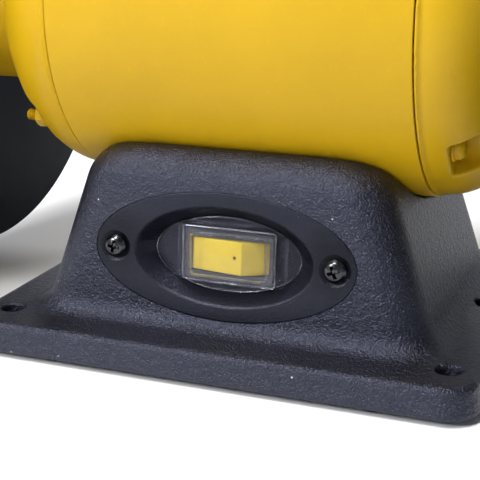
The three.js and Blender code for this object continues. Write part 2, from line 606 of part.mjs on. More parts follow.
function shieldBracket() {
  const [x0, x1] = [STRIP.x0, STRIP.x1];
  const low = [-43, 76];
  const arm = strip(x0, x1, low, [SHIELD.y, SHIELD.z], 8);
  const root = rod(x0, x1, 11, ...low, 24);
  return cut(join(arm, root), rod(x0 - 1, x1 + 1, 3.1, SHIELD.y, SHIELD.z, 16));
}

function eyeShield() {
  const { y, z, slope, width, length, thick } = SHIELD;
  const shape = new THREE.Shape();
  const [half, r] = [width / 2, 10];
  const [barStart, barEnd] = [12.5, 18.5];
  shape.absarc(-half + r, length - r, r, Math.PI, Math.PI / 2, true);
  shape.absarc(half - r, length - r, r, Math.PI / 2, 0, true);
  shape.lineTo(half, barEnd - 3);
  shape.lineTo(-half, barEnd - 3);
  const options = { depth: thick, bevelEnabled: false, curveSegments: 3 };
  const blank = new THREE.ExtrudeGeometry(shape, options).rotateX(Math.PI);
  const lens = solid(blank.translate(WHEEL_X, 0, thick / 2));
  const bar = block([WHEEL_X - half, WHEEL_X + half], [-barEnd, -barStart], [-3, 3]);
  const ear0 = STRIP.x1 + 0.5;
  const ear = block([ear0, ear0 + 4.5], [-barStart - 1, 0], [-3, 3]);
  const hub = rod(ear0, ear0 + 4.5, 6, 0, 0, 20);
  const whole = cut(join(lens, bar, ear, hub), rod(ear0 - 1, ear0 + 6, 3.1, 0, 0, 16));
  return whole.rotate([-slope, 0, 0]).translate(0, y, z);
}

// ---------------------------------------------------------------- the scene graph
const mirrored = (manifold) => manifold.mirror([1, 0, 0]);

function mesh(name, manifold, finish) {
  const node = new THREE.Mesh(toGeometry(manifold), new THREE.MeshStandardMaterial(FINISH[finish]));
  node.name = name;
  return node;
}

function pair(name, make, finish) {
  const right = make();
  const finishes = Array.isArray(finish) ? finish : [finish, finish];
  return [mesh(`${name}_left`, mirrored(right), finishes[0]), mesh(`${name}_right`, right, finishes[1])];
}

function switchGroup() {
  const group = new THREE.Group();
  group.position.set(0, FACE.y, FACE.z);
  group.rotation.x = -FACE.tilt;
  group.add(
    mesh("switch_plate", switchPlate(), "black_plastic"),
    mesh("plate_screw_left", plateScrew(-1), "black_screw"),
    mesh("plate_screw_right", plateScrew(1), "black_screw"),
    mesh("switch_body", switchBody(), "black_plastic"),
    mesh("rocker", rocker(), "rocker_yellow"),
    mesh("switch_boot", switchBoot(), "clear_boot"),
  );
  return group;
}

function standGroup() {
  const group = new THREE.Group();
  group.position.set(0, SHAFT_Y - BASE.toShaft, FOOT_H);
  const footNames = ["front_left", "front_right", "rear_left", "rear_right"];
  group.add(
    mesh("base", baseCasting(), "base_paint"),
    mesh("bottom_cover", bottomCover(), "zinc"),
    mesh("capacitor", capacitor(), "black_plastic"),
    mesh("cord_gland", cordGland(), "black_plastic"),
    ...footPlaces().map((place, k) => mesh(`foot_${footNames[k]}`, foot(place), "rubber")),
    switchGroup(),
  );
  return group;
}

function machineGroup() {
  const group = new THREE.Group();
  group.position.set(0, SHAFT_Y, SHAFT_Z);
  group.add(
    mesh("motor_shell", motorShell(), "motor_paint"),
    mesh("end_bell_left", mirrored(endBell(BOLT.nutSeat)), "motor_paint"),
    mesh("end_bell_right", endBell(BOLT.headSeat), "motor_paint"),
    ...boltPlaces().map((place) => mesh(`through_bolt_${place.name}`, throughBolt(place), "motor_paint")),
    mesh("stator_core", statorCore(), "laminations"),
    mesh("stator_winding_left", winding(-1), "copper"),
    mesh("stator_winding_right", winding(1), "copper"),
    mesh("rotor_core", rotorCore(), "laminations"),
    mesh("shaft", shaft(), "ground_steel"),
    mesh("bearing_left", bearing(-1), "ground_steel"),
    mesh("bearing_right", bearing(1), "ground_steel"),
    ...pair("grinding_wheel", grindingWheel, ["abrasive_coarse", "abrasive_fine"]),
    ...pair("inner_flange", innerFlange, "zinc"),
    ...pair("outer_flange", outerFlange, "zinc"),
    ...pair("arbor_nut", arborNut, "zinc"),
    ...pair("guard", guard, "guard_paint"),
    ...pair("guard_cover", guardCover, "guard_paint"),
    ...COVER_SCREWS.flatMap((deg, k) => pair(`cover_screw_${k + 1}`, () => coverScrew(deg), "black_screw")),
    ...pair("tool_rest", toolRest, "cast_rest"),
    ...pair("rest_bracket", restBracket, "zinc"),
    ...pair("rest_knob", restKnob, "black_plastic"),
    ...pair("spark_arrestor", sparkArrestor, "zinc"),
    ...pair("shield_bracket", shieldBracket, "zinc"),
    ...pair("eye_shield", eyeShield, "shield_clear"),
    ...pair("shield_knob", shieldKnob, "black_plastic"),
  );
  return group;
}

const grinder = new THREE.Group();
grinder.name = "bench_grinder";
grinder.add(standGroup(), machineGroup());

export default grinder;
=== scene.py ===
"""Looks for the bench grinder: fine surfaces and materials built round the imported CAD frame."""
import json
import math

import bmesh
import bpy
from mathutils import Matrix, Vector


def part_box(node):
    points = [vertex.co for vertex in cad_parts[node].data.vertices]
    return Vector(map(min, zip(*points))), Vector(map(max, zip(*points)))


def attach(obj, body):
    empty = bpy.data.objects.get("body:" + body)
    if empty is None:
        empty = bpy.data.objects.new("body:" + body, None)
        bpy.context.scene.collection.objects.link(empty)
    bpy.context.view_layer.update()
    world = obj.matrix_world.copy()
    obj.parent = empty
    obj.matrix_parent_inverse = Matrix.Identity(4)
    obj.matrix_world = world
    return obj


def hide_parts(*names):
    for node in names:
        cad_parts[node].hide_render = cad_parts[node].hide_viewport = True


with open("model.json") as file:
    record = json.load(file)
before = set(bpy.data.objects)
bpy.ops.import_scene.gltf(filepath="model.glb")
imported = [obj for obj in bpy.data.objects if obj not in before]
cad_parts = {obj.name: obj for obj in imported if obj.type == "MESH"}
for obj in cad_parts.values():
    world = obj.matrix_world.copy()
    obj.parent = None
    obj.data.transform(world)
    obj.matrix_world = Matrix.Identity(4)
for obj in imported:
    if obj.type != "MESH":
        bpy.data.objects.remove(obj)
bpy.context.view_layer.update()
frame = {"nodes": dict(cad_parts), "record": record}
MM = 0.001
SIDES = {"left": -1, "right": 1}

# ---------------- places, from the frame
shell_lo, shell_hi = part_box("motor_shell")
SHAFT = Vector((0, (shell_lo.y + shell_hi.y) / 2, (shell_lo.z + shell_hi.z) / 2))
BASE = Vector((0, SHAFT.y - 83.1 * MM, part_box("base")[0].z))  # middle of the base's front bottom edge
FACE_TILT = math.radians(4)  # the pedestal's front and back lean by this much
FACE = BASE + Vector((0, 22.06, 35.74)) * MM  # centre of the oval switch plate
FACE_FRAME = Matrix.Translation(FACE) @ Matrix.Rotation(-FACE_TILT, 4, "X")
PLATE_SCREW_X = 38.7  # in millimetres, like all sizes that are multiplied by MM before they are used


# ---------------- meshes
def link(name, mesh):
    obj = bpy.data.objects.new(name, mesh)
    bpy.context.scene.collection.objects.link(obj)
    return obj


def build(name, verts, faces, smooth=True):
    mesh = bpy.data.meshes.new(name)
    mesh.from_pydata([tuple(v) for v in verts], [], faces)
    work = bmesh.new()
    work.from_mesh(mesh)
    bmesh.ops.remove_doubles(work, verts=work.verts, dist=1e-7)
    bmesh.ops.recalc_face_normals(work, faces=work.faces)
    work.to_mesh(mesh)
    work.free()
    mesh.polygons.foreach_set("use_smooth", [smooth] * len(mesh.polygons))
    return link(name, mesh)


def extrude(name, outline, ends, place):
    """A solid between two ends of an outline; place turns an outline point and an end into a position."""
    n = len(outline)
    verts = [place(p, end) for end in ends for p in outline]
    faces = [tuple(range(n)), tuple(range(2 * n - 1, n - 1, -1))]
    faces += [(j, (j + 1) % n, n + (j + 1) % n, n + j) for j in range(n)]
    return build(name, verts, faces, smooth=False)


def shade_smooth(obj, sharp=None):
    """Smooth shading, but with edges steeper than that many degrees kept sharp."""
    obj.data.polygons.foreach_set("use_smooth", [True] * len(obj.data.polygons))
    if sharp is not None:
        obj.data.set_sharp_from_angle(angle=math.radians(sharp))


def rot(degrees, axis):
    return Matrix.Rotation(math.radians(degrees), 4, axis)


def rounded(points, radius, steps=4):
    """A closed outline with arcs for corners, of up to that radius, which is one number or one per corner."""
    out = []
    count = len(points)
    for k, p in enumerate(points):
        r = radius[k] if hasattr(radius, "__len__") else radius
        p = Vector(p)
        a, b = Vector(points[k - 1]) - p, Vector(points[(k + 1) % count]) - p
        angle = a.angle(b, math.pi)
        if r <= 0 or angle > math.radians(172):
            out.append(p)
            continue
        reach = min(r / math.tan(angle / 2), 0.45 * a.length, 0.45 * b.length)
        start, end = p + a.normalized() * reach, p + b.normalized() * reach
        for s in range(steps + 1):
            t = s / steps
            out.append(start.lerp(p, t).lerp(p.lerp(end, t), t))
    return out


def lathe(name, profile, radius, sides=144, centre=SHAFT, axis="X"):
    """Turned about a line through centre.

    The profile is a closed outline of (along, radius), and its corners are rounded.
    """
    on_axis = [abs(p[1]) < 1e-9 for p in profile]
    radii = [0 if flat else radius for flat in on_axis] if not hasattr(radius, "__len__") else radius
    outline = rounded(profile, radii)
    verts, faces = [], []
    for k in range(sides):
        angle = 2 * math.pi * k / sides
        c, s = math.cos(angle), math.sin(angle)
        for p in outline:
            spot = (p[0], p[1] * c, p[1] * s) if axis == "X" else (p[1] * c, p[1] * s, p[0])
            verts.append(Vector(spot) + centre)
    n = len(outline)
    for k in range(sides):
        for j in range(n):
            a, b = k * n + j, k * n + (j + 1) % n
            c, d = ((k + 1) % sides) * n + (j + 1) % n, ((k + 1) % sides) * n + j
            faces.append((a, b, c, d))
    return build(name, verts, faces)


def in_mm(profile, radius):
    """The same profile and corner radii, turned from millimetres into metres."""
    radii = [r * MM for r in radius] if hasattr(radius, "__len__") else radius * MM
    return [(x * MM, r * MM) for x, r in profile], radii


def turned_at(name, profile, radius, sides, place):
    """Turned about the local X, in millimetres, and then placed by a matrix."""
    obj = lathe(name, *in_mm(profile, radius), sides, Vector())
    obj.data.transform(place)
    return obj


def prism(name, outline, depth0, depth1, matrix):
    """An outline in the XZ plane, extruded between two depths along Y, then placed by a matrix."""
    return extrude(name, outline, (depth0, depth1), lambda p, d: matrix @ Vector((p[0], d, p[1])))


def quarter(steps, first=0):
    """Angles from 0 to 90 degrees, in radians."""
    return [math.radians(90 * k / steps) for k in range(first, steps + 1)]


def box_outline(x0, x1, z0, z1, r=0.0, steps=5):
    return rounded([(x0, z0), (x1, z0), (x1, z1), (x0, z1)], r, steps)


def ellipse(a, b, count=96):
    angles = [2 * math.pi * k / count for k in range(count)]
    return [(a * math.cos(t), b * math.sin(t)) for t in angles]


def bake_modifiers(obj):
    bpy.context.view_layer.update()
    graph = bpy.context.evaluated_depsgraph_get()
    mesh = bpy.data.meshes.new_from_object(obj.evaluated_get(graph))
    obj.modifiers.clear()
    obj.data = mesh
    return obj


def combine(obj, others, operation):
    """Works other meshes into obj by a boolean, and removes them."""
    for other in others:
        step = obj.modifiers.new("combine", "BOOLEAN")
        step.object, step.operation, step.solver = other, operation, "EXACT"
    bake_modifiers(obj)
    for other in others:
        bpy.data.objects.remove(other)
    return obj


def cut(obj, *others):
    return combine(obj, others, "DIFFERENCE")


def add(obj, *others):
    return combine(obj, others, "UNION")


def soften(obj, voxel, smoothing, keep):
    """Turns a sharp boolean result into a cast or moulded one, with every edge a little round."""
    remesh = obj.modifiers.new("remesh", "REMESH")
    remesh.mode, remesh.voxel_size = "VOXEL", voxel
    smooth = obj.modifiers.new("smooth", "SMOOTH")
    smooth.factor, smooth.iterations = 0.5, smoothing
    thin = obj.modifiers.new("thin", "DECIMATE")
    thin.ratio = keep
    bake_modifiers(obj)
    shade_smooth(obj)
    return obj


def bevel(obj, width, segments=3, angle=35):
    step = obj.modifiers.new("bevel", "BEVEL")
    step.width, step.segments, step.limit_method = width, segments, "ANGLE"
    step.angle_limit, step.harden_normals = math.radians(angle), False
    bake_modifiers(obj)
    shade_smooth(obj, 40)
    return obj


def mirror(obj, name):
    mesh = obj.data.copy()
    mesh.transform(Matrix.Scale(-1, 4, (1, 0, 0)))
    mesh.flip_normals()
    return link(name, mesh)


def dress(obj, finish, body, *nodes, slot=None):
    """Gives a finished piece its material, its CAD body and the nodes it stands for.

    The slot argument is not used.
    """
    obj.data.materials.clear()
    obj.data.materials.append(LOOKS[finish])
    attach(obj, body)
    if nodes:
        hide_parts(*nodes)


# ---------------- materials
class Look:
    """A Principled material with procedural colour, roughness and bump; its patterns are sized in metres."""

    def __init__(self, name, colour, roughness, metallic=0.0, **sockets):
        self.material = bpy.data.materials.new(name)
        self.material.use_nodes = True
        self.tree = self.material.node_tree
        self.shader = self.tree.nodes["Principled BSDF"]
        self.shader.inputs["Base Color"].default_value = (*colour, 1)
        self.shader.inputs["Roughness"].default_value = roughness
        self.shader.inputs["Metallic"].default_value = metallic
        for key, value in sockets.items():
            self.shader.inputs[key.replace("_", " ")].default_value = value
        self.coords = self.tree.nodes.new("ShaderNodeTexCoord").outputs["Object"]
        self.normal = None

    def node(self, kind, **values):
        made = self.tree.nodes.new(kind)
        for key, value in values.items():
            if key in made.inputs:
                made.inputs[key].default_value = value
            else:
                setattr(made, key, value)
        return made

    def wire(self, source, target):
        self.tree.links.new(source, target)

    def noise(self, size, detail, stretch=None, roughness=0.5):
        """Noise whose features are about that size in metres."""
        made = self.node("ShaderNodeTexNoise", Scale=1 / size, Detail=detail, Roughness=roughness)
        source = self.coords
        if stretch:
            mapping = self.node("ShaderNodeMapping")
            mapping.inputs["Scale"].default_value = stretch
            self.wire(source, mapping.inputs["Vector"])
            source = mapping.outputs["Vector"]
        self.wire(source, made.inputs["Vector"])
        return made.outputs["Fac"]

    def cells(self, size, output="Distance"):
        made = self.node("ShaderNodeTexVoronoi", Scale=1 / size)
        self.wire(self.coords, made.inputs["Vector"])
        return made.outputs[output]

    def ramp(self, source, low, high, from_=0.0, to=1.0):
        ends = {"From Min": low, "From Max": high, "To Min": from_, "To Max": to}
        made = self.node("ShaderNodeMapRange", **ends)
        self.wire(source, made.inputs["Value"])
        return made.outputs["Result"]

    def tint(self, source, other, share=1.0):
        """Blends the base colour towards another colour by a 0 to 1 source."""
        mix = self.tree.nodes.new("ShaderNodeMix")
        mix.data_type = "RGBA"
        target = self.shader.inputs["Base Color"]
        if target.is_linked:
            self.wire(target.links[0].from_socket, mix.inputs["A"])
        else:
            mix.inputs["A"].default_value = target.default_value
        mix.inputs["B"].default_value = (*other, 1)
        if share < 1:
            source = self.ramp(source, 0, 1, 0, share)
        self.wire(source, mix.inputs["Factor"])
        self.wire(mix.outputs["Result"], target)
        return self

    def clouds(self, size, other):
        """Broad, soft patches of another colour."""
        return self.tint(self.ramp(self.noise(size, 3), 0.35, 0.7), other)

    def specks(self, spacing, size, colour):
        """Sparse grains of dust, and on the powder coat also painted glints: about one in three of the cells
        of that spacing has a spot.
        """
        made = self.node("ShaderNodeTexVoronoi", Scale=1 / spacing)
        self.wire(self.coords, made.inputs["Vector"])
        inside = self.ramp(made.outputs["Distance"], size / spacing, 0.8 * size / spacing)
        chosen = self.ramp(made.outputs["Color"], 0.62, 0.64)
        both = self.node("ShaderNodeMath", operation="MULTIPLY")
        self.wire(inside, both.inputs[0])
        self.wire(chosen, both.inputs[1])
        return self.tint(both.outputs["Value"], colour)

    def near(self, spot, inner, outer):
        """1 within inner metres of a spot and 0 beyond outer, with a ragged edge."""
        made = self.node("ShaderNodeVectorMath", operation="DISTANCE")
        made.inputs[1].default_value = spot
        self.wire(self.coords, made.inputs[0])
        edge = self.node("ShaderNodeMath", operation="MULTIPLY_ADD")
        self.wire(self.noise(0.004, 3), edge.inputs[0])
        edge.inputs[1].default_value = inner
        self.wire(made.outputs["Value"], edge.inputs[2])
        return self.ramp(edge.outputs["Value"], outer + inner / 2, inner + inner / 2)

    def rough(self, source, low, high):
        self.wire(self.ramp(source, 0, 1, low, high), self.shader.inputs["Roughness"])
        return self

    def bump(self, source, depth, strength=1.0):
        """Adds relief of that depth in metres."""
        made = self.node("ShaderNodeBump", Strength=strength, Distance=depth)
        self.wire(source, made.inputs["Height"])
        if self.normal is not None:
            self.wire(self.normal, made.inputs["Normal"])
        self.normal = made.outputs["Normal"]
        self.wire(self.normal, self.shader.inputs["Normal"])
        return self


def shade(colour, factor):
    return tuple(min(1.0, c * factor) for c in colour)


def motor_enamel():
    yellow = (0.56, 0.335, 0.005)
    look = Look("motor_enamel", yellow, 0.36, Specular_IOR_Level=0.25)
    look.clouds(0.05, shade(yellow, 0.9))
    look.tint(look.ramp(look.noise(0.0012, 2), 0.62, 0.75), shade(yellow, 1.12), 0.3)
    look.rough(look.noise(0.012, 3), 0.33, 0.43)
    look.bump(look.noise(0.004, 2), 0.00004).bump(look.noise(0.0009, 2), 0.000014)
    look.specks(0.03, 0.00028, (0.16, 0.07, 0.01))
    return look.material


def powder_coat():
    colour, grain, depth = (0.0048, 0.0052, 0.0090), 0.0007, 0.0006
    look = Look("base_powder_coat", colour, 0.45, Specular_IOR_Level=0.72, Specular_Tint=(0.68, 0.72, 1.0, 1))
    look.clouds(0.03, shade(colour, 0.75))
    # Paler grains: partly the coat's real grain, partly painted sparkle standing in for highlights on the
    # grains.
    look.tint(look.ramp(look.noise(grain, 2, roughness=0.6), 0.58, 0.70), (0.07, 0.07, 0.10), 0.5)
    look.rough(look.noise(grain * 1.7, 2), 0.24, 0.44)
    look.bump(look.noise(grain, 2, roughness=0.6), depth).bump(look.noise(grain * 3, 2), depth * 0.8)
    # Pale specks: partly dust, partly painted glints that stand in for the coat's sparkle.
    look.specks(0.011, 0.00034, (0.5, 0.5, 0.52))
    return look.material


def guard_enamel():
    navy = (0.0080, 0.0095, 0.0165)
    look = Look("guard_enamel", navy, 0.4, Specular_IOR_Level=0.06, Specular_Tint=(0.62, 0.72, 1.0, 1))
    look.clouds(0.04, shade(navy, 0.75))
    look.rough(look.noise(0.01, 3), 0.34, 0.46)
    look.bump(look.noise(0.003, 2), 0.00003)
    return look.material


def faceplate_moulding():
    """The switch plate's fine-grained plastic, with painted shade darkening it round its screws."""
    black = (0.0085, 0.0090, 0.0145)
    tint = (0.74, 0.78, 1.0, 1)
    look = Look("faceplate_moulding", black, 0.36, Specular_IOR_Level=0.34, Specular_Tint=tint)
    look.clouds(0.02, shade(black, 0.8))
    look.tint(look.ramp(look.noise(0.0005, 3), 0.5, 0.7), shade(black, 2.0), 0.5)
    look.rough(look.noise(0.0015, 2), 0.24, 0.36)
    look.bump(look.noise(0.0006, 3), 0.00022)
    # Painted shade: the colour goes nearly black close to each plate screw and fades out a little further
    # away.
    painted_screw_shade = look.node("ShaderNodeMath", operation="MAXIMUM")
    for k, side in enumerate(SIDES.values()):
        spot = FACE_FRAME @ Vector((side * PLATE_SCREW_X * MM, 0, 3 * MM))
        look.wire(look.near(spot, 0.006, 0.014), painted_screw_shade.inputs[k])
    look.tint(painted_screw_shade.outputs["Value"], shade(black, 0.06), 0.95)
    look.specks(0.02, 0.0003, (0.3, 0.3, 0.33))
    return look.material


def moulded(name, colour, roughness=0.45, grain=0.0006):
    look = Look(name, colour, roughness)
    look.clouds(0.02, shade(colour, 0.82))
    look.rough(look.noise(grain * 3, 2), roughness - 0.05, roughness + 0.08)
    look.bump(look.noise(grain, 3), 0.00002)
    return look.material


def rocker_plastic():
    yellow = (0.60, 0.44, 0.014)
    look = Look("yellow_rocker", yellow, 0.34, Specular_IOR_Level=0.3)
    look.clouds(0.006, shade(yellow, 0.88))
    look.rough(look.noise(0.0016, 2), 0.3, 0.42)
    look.bump(look.noise(0.0005, 3), 0.00002)
    pit = FACE_FRAME @ (Vector((3.4, 2.71, -0.3)) * MM)
    look.tint(look.near(pit, 0.0004, 0.0008), (0.05, 0.02, 0.005))
    return look.material


def clear(name, colour, roughness, facing, edge, thinnest=1.0):
    """A thin clear sheet, milky and glossy where it is seen edge on, and thinner in places."""
    look = Look(name, colour, roughness, 1.0)
    look.rough(look.noise(0.008, 3), roughness, roughness + 0.06)
    weight = look.node("ShaderNodeLayerWeight", Blend=0.5).outputs["Facing"]
    slope = look.node("ShaderNodeMath", operation="POWER")
    slope.inputs[1].default_value = 3.0
    look.wire(weight, slope.inputs[0])
    product = look.node("ShaderNodeMath", operation="MULTIPLY")
    look.wire(look.ramp(slope.outputs["Value"], 0.0, 1.0, facing, edge), product.inputs[0])
    look.wire(look.ramp(look.noise(0.009, 2), 0.42, 0.58, thinnest, 1.0), product.inputs[1])
    look.wire(product.outputs["Value"], look.shader.inputs["Alpha"])
    look.bump(look.noise(0.01, 2), 0.00002)
    return look.material


def metal(name, colour, low, high, stretch=(1, 1, 1), grain=0.001, depth=0.000006):
    look = Look(name, colour, low, 1.0)
    look.tint(look.ramp(look.noise(0.012, 4), 0.3, 0.75), shade(colour, 0.78))
    look.rough(look.noise(grain * 4, 3, stretch), low, high)
    look.bump(look.noise(grain, 3, stretch), depth)
    return look.material


def abrasive(name, colour, grit):
    look = Look(name, colour, 0.9)
    look.tint(look.ramp(look.cells(grit, output="Color"), 0.2, 0.9), shade(colour, 0.45))
    look.tint(look.ramp(look.noise(grit * 1.6, 3), 0.6, 0.72), shade(colour, 2.2), 0.6)
    look.bump(look.cells(grit), grit * 0.35, 0.8).bump(look.noise(grit * 2, 3), grit * 0.4)
    return look.material


LOOKS = {
    "motor_paint": motor_enamel(),
    "base_paint": powder_coat(),
    "guard_paint": guard_enamel(),
    "black_plastic": moulded("black_moulding", (0.012, 0.012, 0.016)),
    "plate_moulding": faceplate_moulding(),
    "rocker_yellow": rocker_plastic(),
    "clear_boot": clear("clear_vinyl", (0.80, 0.80, 0.92), 0.06, 0.035, 0.8),
    "boot_skirt": clear("clear_vinyl_skirt", (0.80, 0.80, 0.92), 0.06, 0.003, 0.2),
    "boot_lip": clear("clear_vinyl_lip", (0.80, 0.80, 0.92), 0.12, 0.11, 0.8, 0.3),
    "shield_clear": clear("clear_polycarbonate", (0.86, 0.92, 0.96), 0.04, 0.06, 0.8),
    "black_screw": metal("black_oxide", (0.075, 0.075, 0.082), 0.14, 0.26),
    "zinc": metal("zinc_plate", (0.62, 0.61, 0.57), 0.28, 0.45),
    "ground_steel": metal("ground_steel", (0.56, 0.57, 0.58), 0.2, 0.35, (0.2, 3, 3)),
    "cast_rest": metal("die_cast", (0.55, 0.56, 0.57), 0.38, 0.55, (1, 6, 1), 0.0008, 0.00002),
    "rubber": moulded("black_rubber", (0.014, 0.014, 0.014), 0.8, 0.0008),
    "abrasive_coarse": abrasive("coarse_abrasive", (0.16, 0.165, 0.175), 0.0008),
    "abrasive_fine": abrasive("fine_abrasive", (0.24, 0.245, 0.25), 0.0004),
    "laminations": metal("laminations", (0.2, 0.21, 0.22), 0.4, 0.6, (30, 1, 1), 0.0006),
    "copper": metal("varnished_copper", (0.5, 0.18, 0.06), 0.25, 0.4, (1, 6, 6), 0.0008, 0.0001),
}


def dress_cad_nodes():
    """Every CAD node starts with its slot's material; the fine pieces then take the place of most of them."""
    for part in frame["record"]["subparts"]:
        node = frame["nodes"][part["node"]]
        node.data.materials.clear()
        node.data.materials.append(LOOKS[part["material_slot"]])


# ---------------- the base casting
FLANGE = {"half": 87.8, "depth": 148.0, "thick": 10.4, "corner": 11.0, "flare": 1.2}
PEDESTAL = {"half": 70.4, "front": 20.3, "rear": 130.0, "corner": 14.0, "top": 69.3}
SIDE_SLOPE = 0.333
FOOT_FILLET, TOP_ROUND = 6.0, 11.0
SADDLE_R = 63.9  # the seat of the motor
PLATE_POCKET, TRAY_ROOM = (46.05, 21.65), (33.2, 18.4)  # half axes of the ovals sunk into the pedestal's face
HOLE_X, HOLE_ROWS, HOLE_R = 77.25, (16.5, 81.0, 131.5), 4.05


def rounded_ring(half, y0, y1, r, z):
    """One level of a loft: a rounded rectangle at height z, in millimetres in the base's own frame."""
    steps, x = 10, half - r
    ring = []
    for cx, cy, start in ((x, y0 + r, -90), (x, y1 - r, 0), (-x, y1 - r, 90), (-x, y0 + r, 180)):
        for k in range(steps + 1):
            t = math.radians(start + 90 * k / steps)
            ring.append(BASE + Vector((cx + r * math.cos(t), cy + r * math.sin(t), z)) * MM)
    return ring


def loft(name, rings):
    n = len(rings[0])
    verts = [p for ring in rings for p in ring]
    faces = [tuple(range(n)), tuple(range(len(verts) - n, len(verts)))]
    for k in range(len(rings) - 1):
        for j in range(n):
            a, b = k * n + j, k * n + (j + 1) % n
            faces.append((a, b, b + n, a + n))
    return build(name, verts, faces, smooth=False)


def flange_rings():
    half, depth, thick, corner, flare = FLANGE.values()
    edge = 2.0
    levels = [(0, 1.0), (0.6, flare), (thick - edge, 0.2)]
    levels += [(thick - edge + edge * math.sin(t), 0.2 - edge * (1 - math.cos(t))) for t in quarter(5, 1)]
    return [rounded_ring(half + out, flare - out, depth - flare + out, corner, z) for z, out in levels]


def pedestal_rings():
    p = PEDESTAL
    rings = []
    heights = [6.0]
    heights += [FLANGE["thick"] + FOOT_FILLET * (1 - math.cos(t)) for t in quarter(6)]
    heights += [30.0, 45.0]
    heights += [p["top"] - TOP_ROUND + TOP_ROUND * math.sin(t) for t in quarter(8)]
    for z in heights:
        up = z - FLANGE["thick"]
        low = min(FOOT_FILLET, max(0.0, FOOT_FILLET - up))
        high = min(TOP_ROUND, max(0.0, z - (p["top"] - TOP_ROUND)))
        swell = FOOT_FILLET - math.sqrt(FOOT_FILLET**2 - low**2)
        swell = swell - TOP_ROUND + math.sqrt(TOP_ROUND**2 - high**2)
        side = p["half"] - up * SIDE_SLOPE + swell
        lean = up * math.tan(FACE_TILT) - swell
        rings.append(rounded_ring(side, p["front"] + lean, p["rear"] - lean, p["corner"], z))
    return rings


def post(name, x, y, z0, z1, r):
    """A round upright from z0 to z1."""
    circle = ellipse(r, r, 48)
    return loft(name, [[BASE + Vector((x + u, y + v, z)) * MM for u, v in circle] for z in (z0, z1)])


def base_casting():
    casting = loft("base_casting", flange_rings())
    add(casting, loft("pedestal", pedestal_rings()))
    saddle = lathe("saddle", [(-0.1, 0), (-0.1, SADDLE_R * MM), (0.1, SADDLE_R * MM), (0.1, 0)], 0)
    holes = [post("hole", side * HOLE_X, y, -2, 14, HOLE_R) for side in (-1, 1) for y in HOLE_ROWS]
    floor = loft("rebate", [rounded_ring(74, 16, 134, 10, z) for z in (-2, 2.3)])
    cut(casting, saddle, *holes, floor)
    soften(casting, 0.75 * MM, 5, 0.45)
    pocket, room = ([q * MM for q in axes] for axes in (PLATE_POCKET, TRAY_ROOM))
    pocket = prism("pocket", ellipse(*pocket, OVAL_SIDES), -0.03, 2.5 * MM, FACE_FRAME)
    tray = prism("tray", ellipse(*room), -0.03, 14 * MM, FACE_FRAME)
    cut(casting, pocket, tray)
    shade_smooth(casting, 40)
    dress(casting, "base_paint", "frame", "base")


# ---------------- the switch
TRAY = {"rim": (31.3, 16.5), "floor": (25.4, 12.5), "depth": 7.0}
PLATE = (45.95, 21.55, 0.4)  # half length, half height and the round of its edge
OVAL_SIDES = 144
SWITCH_X, SWITCH_Z = 1.0, -0.5
SWITCH_OPENING = (30.4, 14.0)
ROCKER_HALF = 5.6
SCREW_HEAD_R = 4.0
# Left, right, bottom and top on the plate, in millimetres.
BOOT = {
    "front": (-13.8, 19.2, -8.4, 10.3),
    "foot": (-18.5, 20.9, -10.8, 10.9),
    "well": (-11.9, 15.2, -7.3, 7.5),
}


def face_ring(a, b, depth):
    return [FACE_FRAME @ Vector((u, depth * MM, v)) for u, v in ellipse(a * MM, b * MM, OVAL_SIDES)]


def face_box(w, h, depth0, depth1, r, x=SWITCH_X):
    """A box level with the switch, round-cornered from the front; depths are inward, in millimetres."""
    sizes = (x - w / 2, x + w / 2, SWITCH_Z - h / 2, SWITCH_Z + h / 2, r)
    outline = box_outline(*[size * MM for size in sizes], 6)
    return prism("box", outline, depth0 * MM, depth1 * MM, FACE_FRAME)


def screw_pad(side):
    """The cutter for one screw's seat in the plate; its profile is (depth inward, radius)."""
    profile = [(-2, 0), (-2, 7.4), (0, 5.4), (0.5, 4.2), (0.5, 0)]
    place = FACE_FRAME @ Matrix.Translation((side * PLATE_SCREW_X * MM, 0, 0)) @ rot(90, "Z")
    return turned_at("pad", profile, 0.6, 64, place)


def switch_plate():
    (rim_a, rim_b), (floor_a, floor_b), depth = TRAY.values()
    a, b, edge = PLATE
    rings = [(floor_a - 3, floor_b - 3, depth + 1.8), (floor_a + 1.2, floor_b + 1.2, depth + 1.8),
             (rim_a + 1, rim_b + 1, 2.4), (a, b, 2.4)]
    for t in quarter(5):
        out = edge * (1 - math.cos(t))
        rings.append((a - out, b - out, edge * (1 - math.sin(t))))
    for k in range(7):
        t = k / 6
        out = 0.9 * (1 - t) ** 1.6
        rings.append((rim_a + out - 0.6 * t**2, rim_b + out - 0.4 * t**2, 1.0 * t**2))
    for t in quarter(5):
        fillet = 1.6 * (1 - math.cos(t))
        rings.append((floor_a + 0.9 - fillet, floor_b + 0.6 - fillet, depth - 1.2 + 1.2 * math.sin(t)))
    plate = loft("switch_faceplate", [face_ring(*ring) for ring in rings])
    opening = face_box(*SWITCH_OPENING, depth - 3, depth + 5, 0.6)
    cut(plate, opening, screw_pad(-1), screw_pad(1))
    shade_smooth(plate, 30)
    dress(plate, "plate_moulding", "frame", "switch_plate", slot="black_plastic")


def cross_recess(size, depth, centre_depth):
    """Two crossed tapered blades that cut a Phillips recess, standing along the local -Y."""
    rings, w = [], size * 0.13
    for d, half in ((centre_depth - 0.6, size * 0.62), (centre_depth + depth, size * 0.2)):
        rings.append([(-half, d, -w), (half, d, -w), (half, d, w), (-half, d, w)])
    turns = [Matrix.Rotation(math.radians(turn), 3, "Y") for turn in (0, 90)]
    return [loft("blade", [[turn @ (Vector(v) * MM) for v in ring] for ring in rings]) for turn in turns]


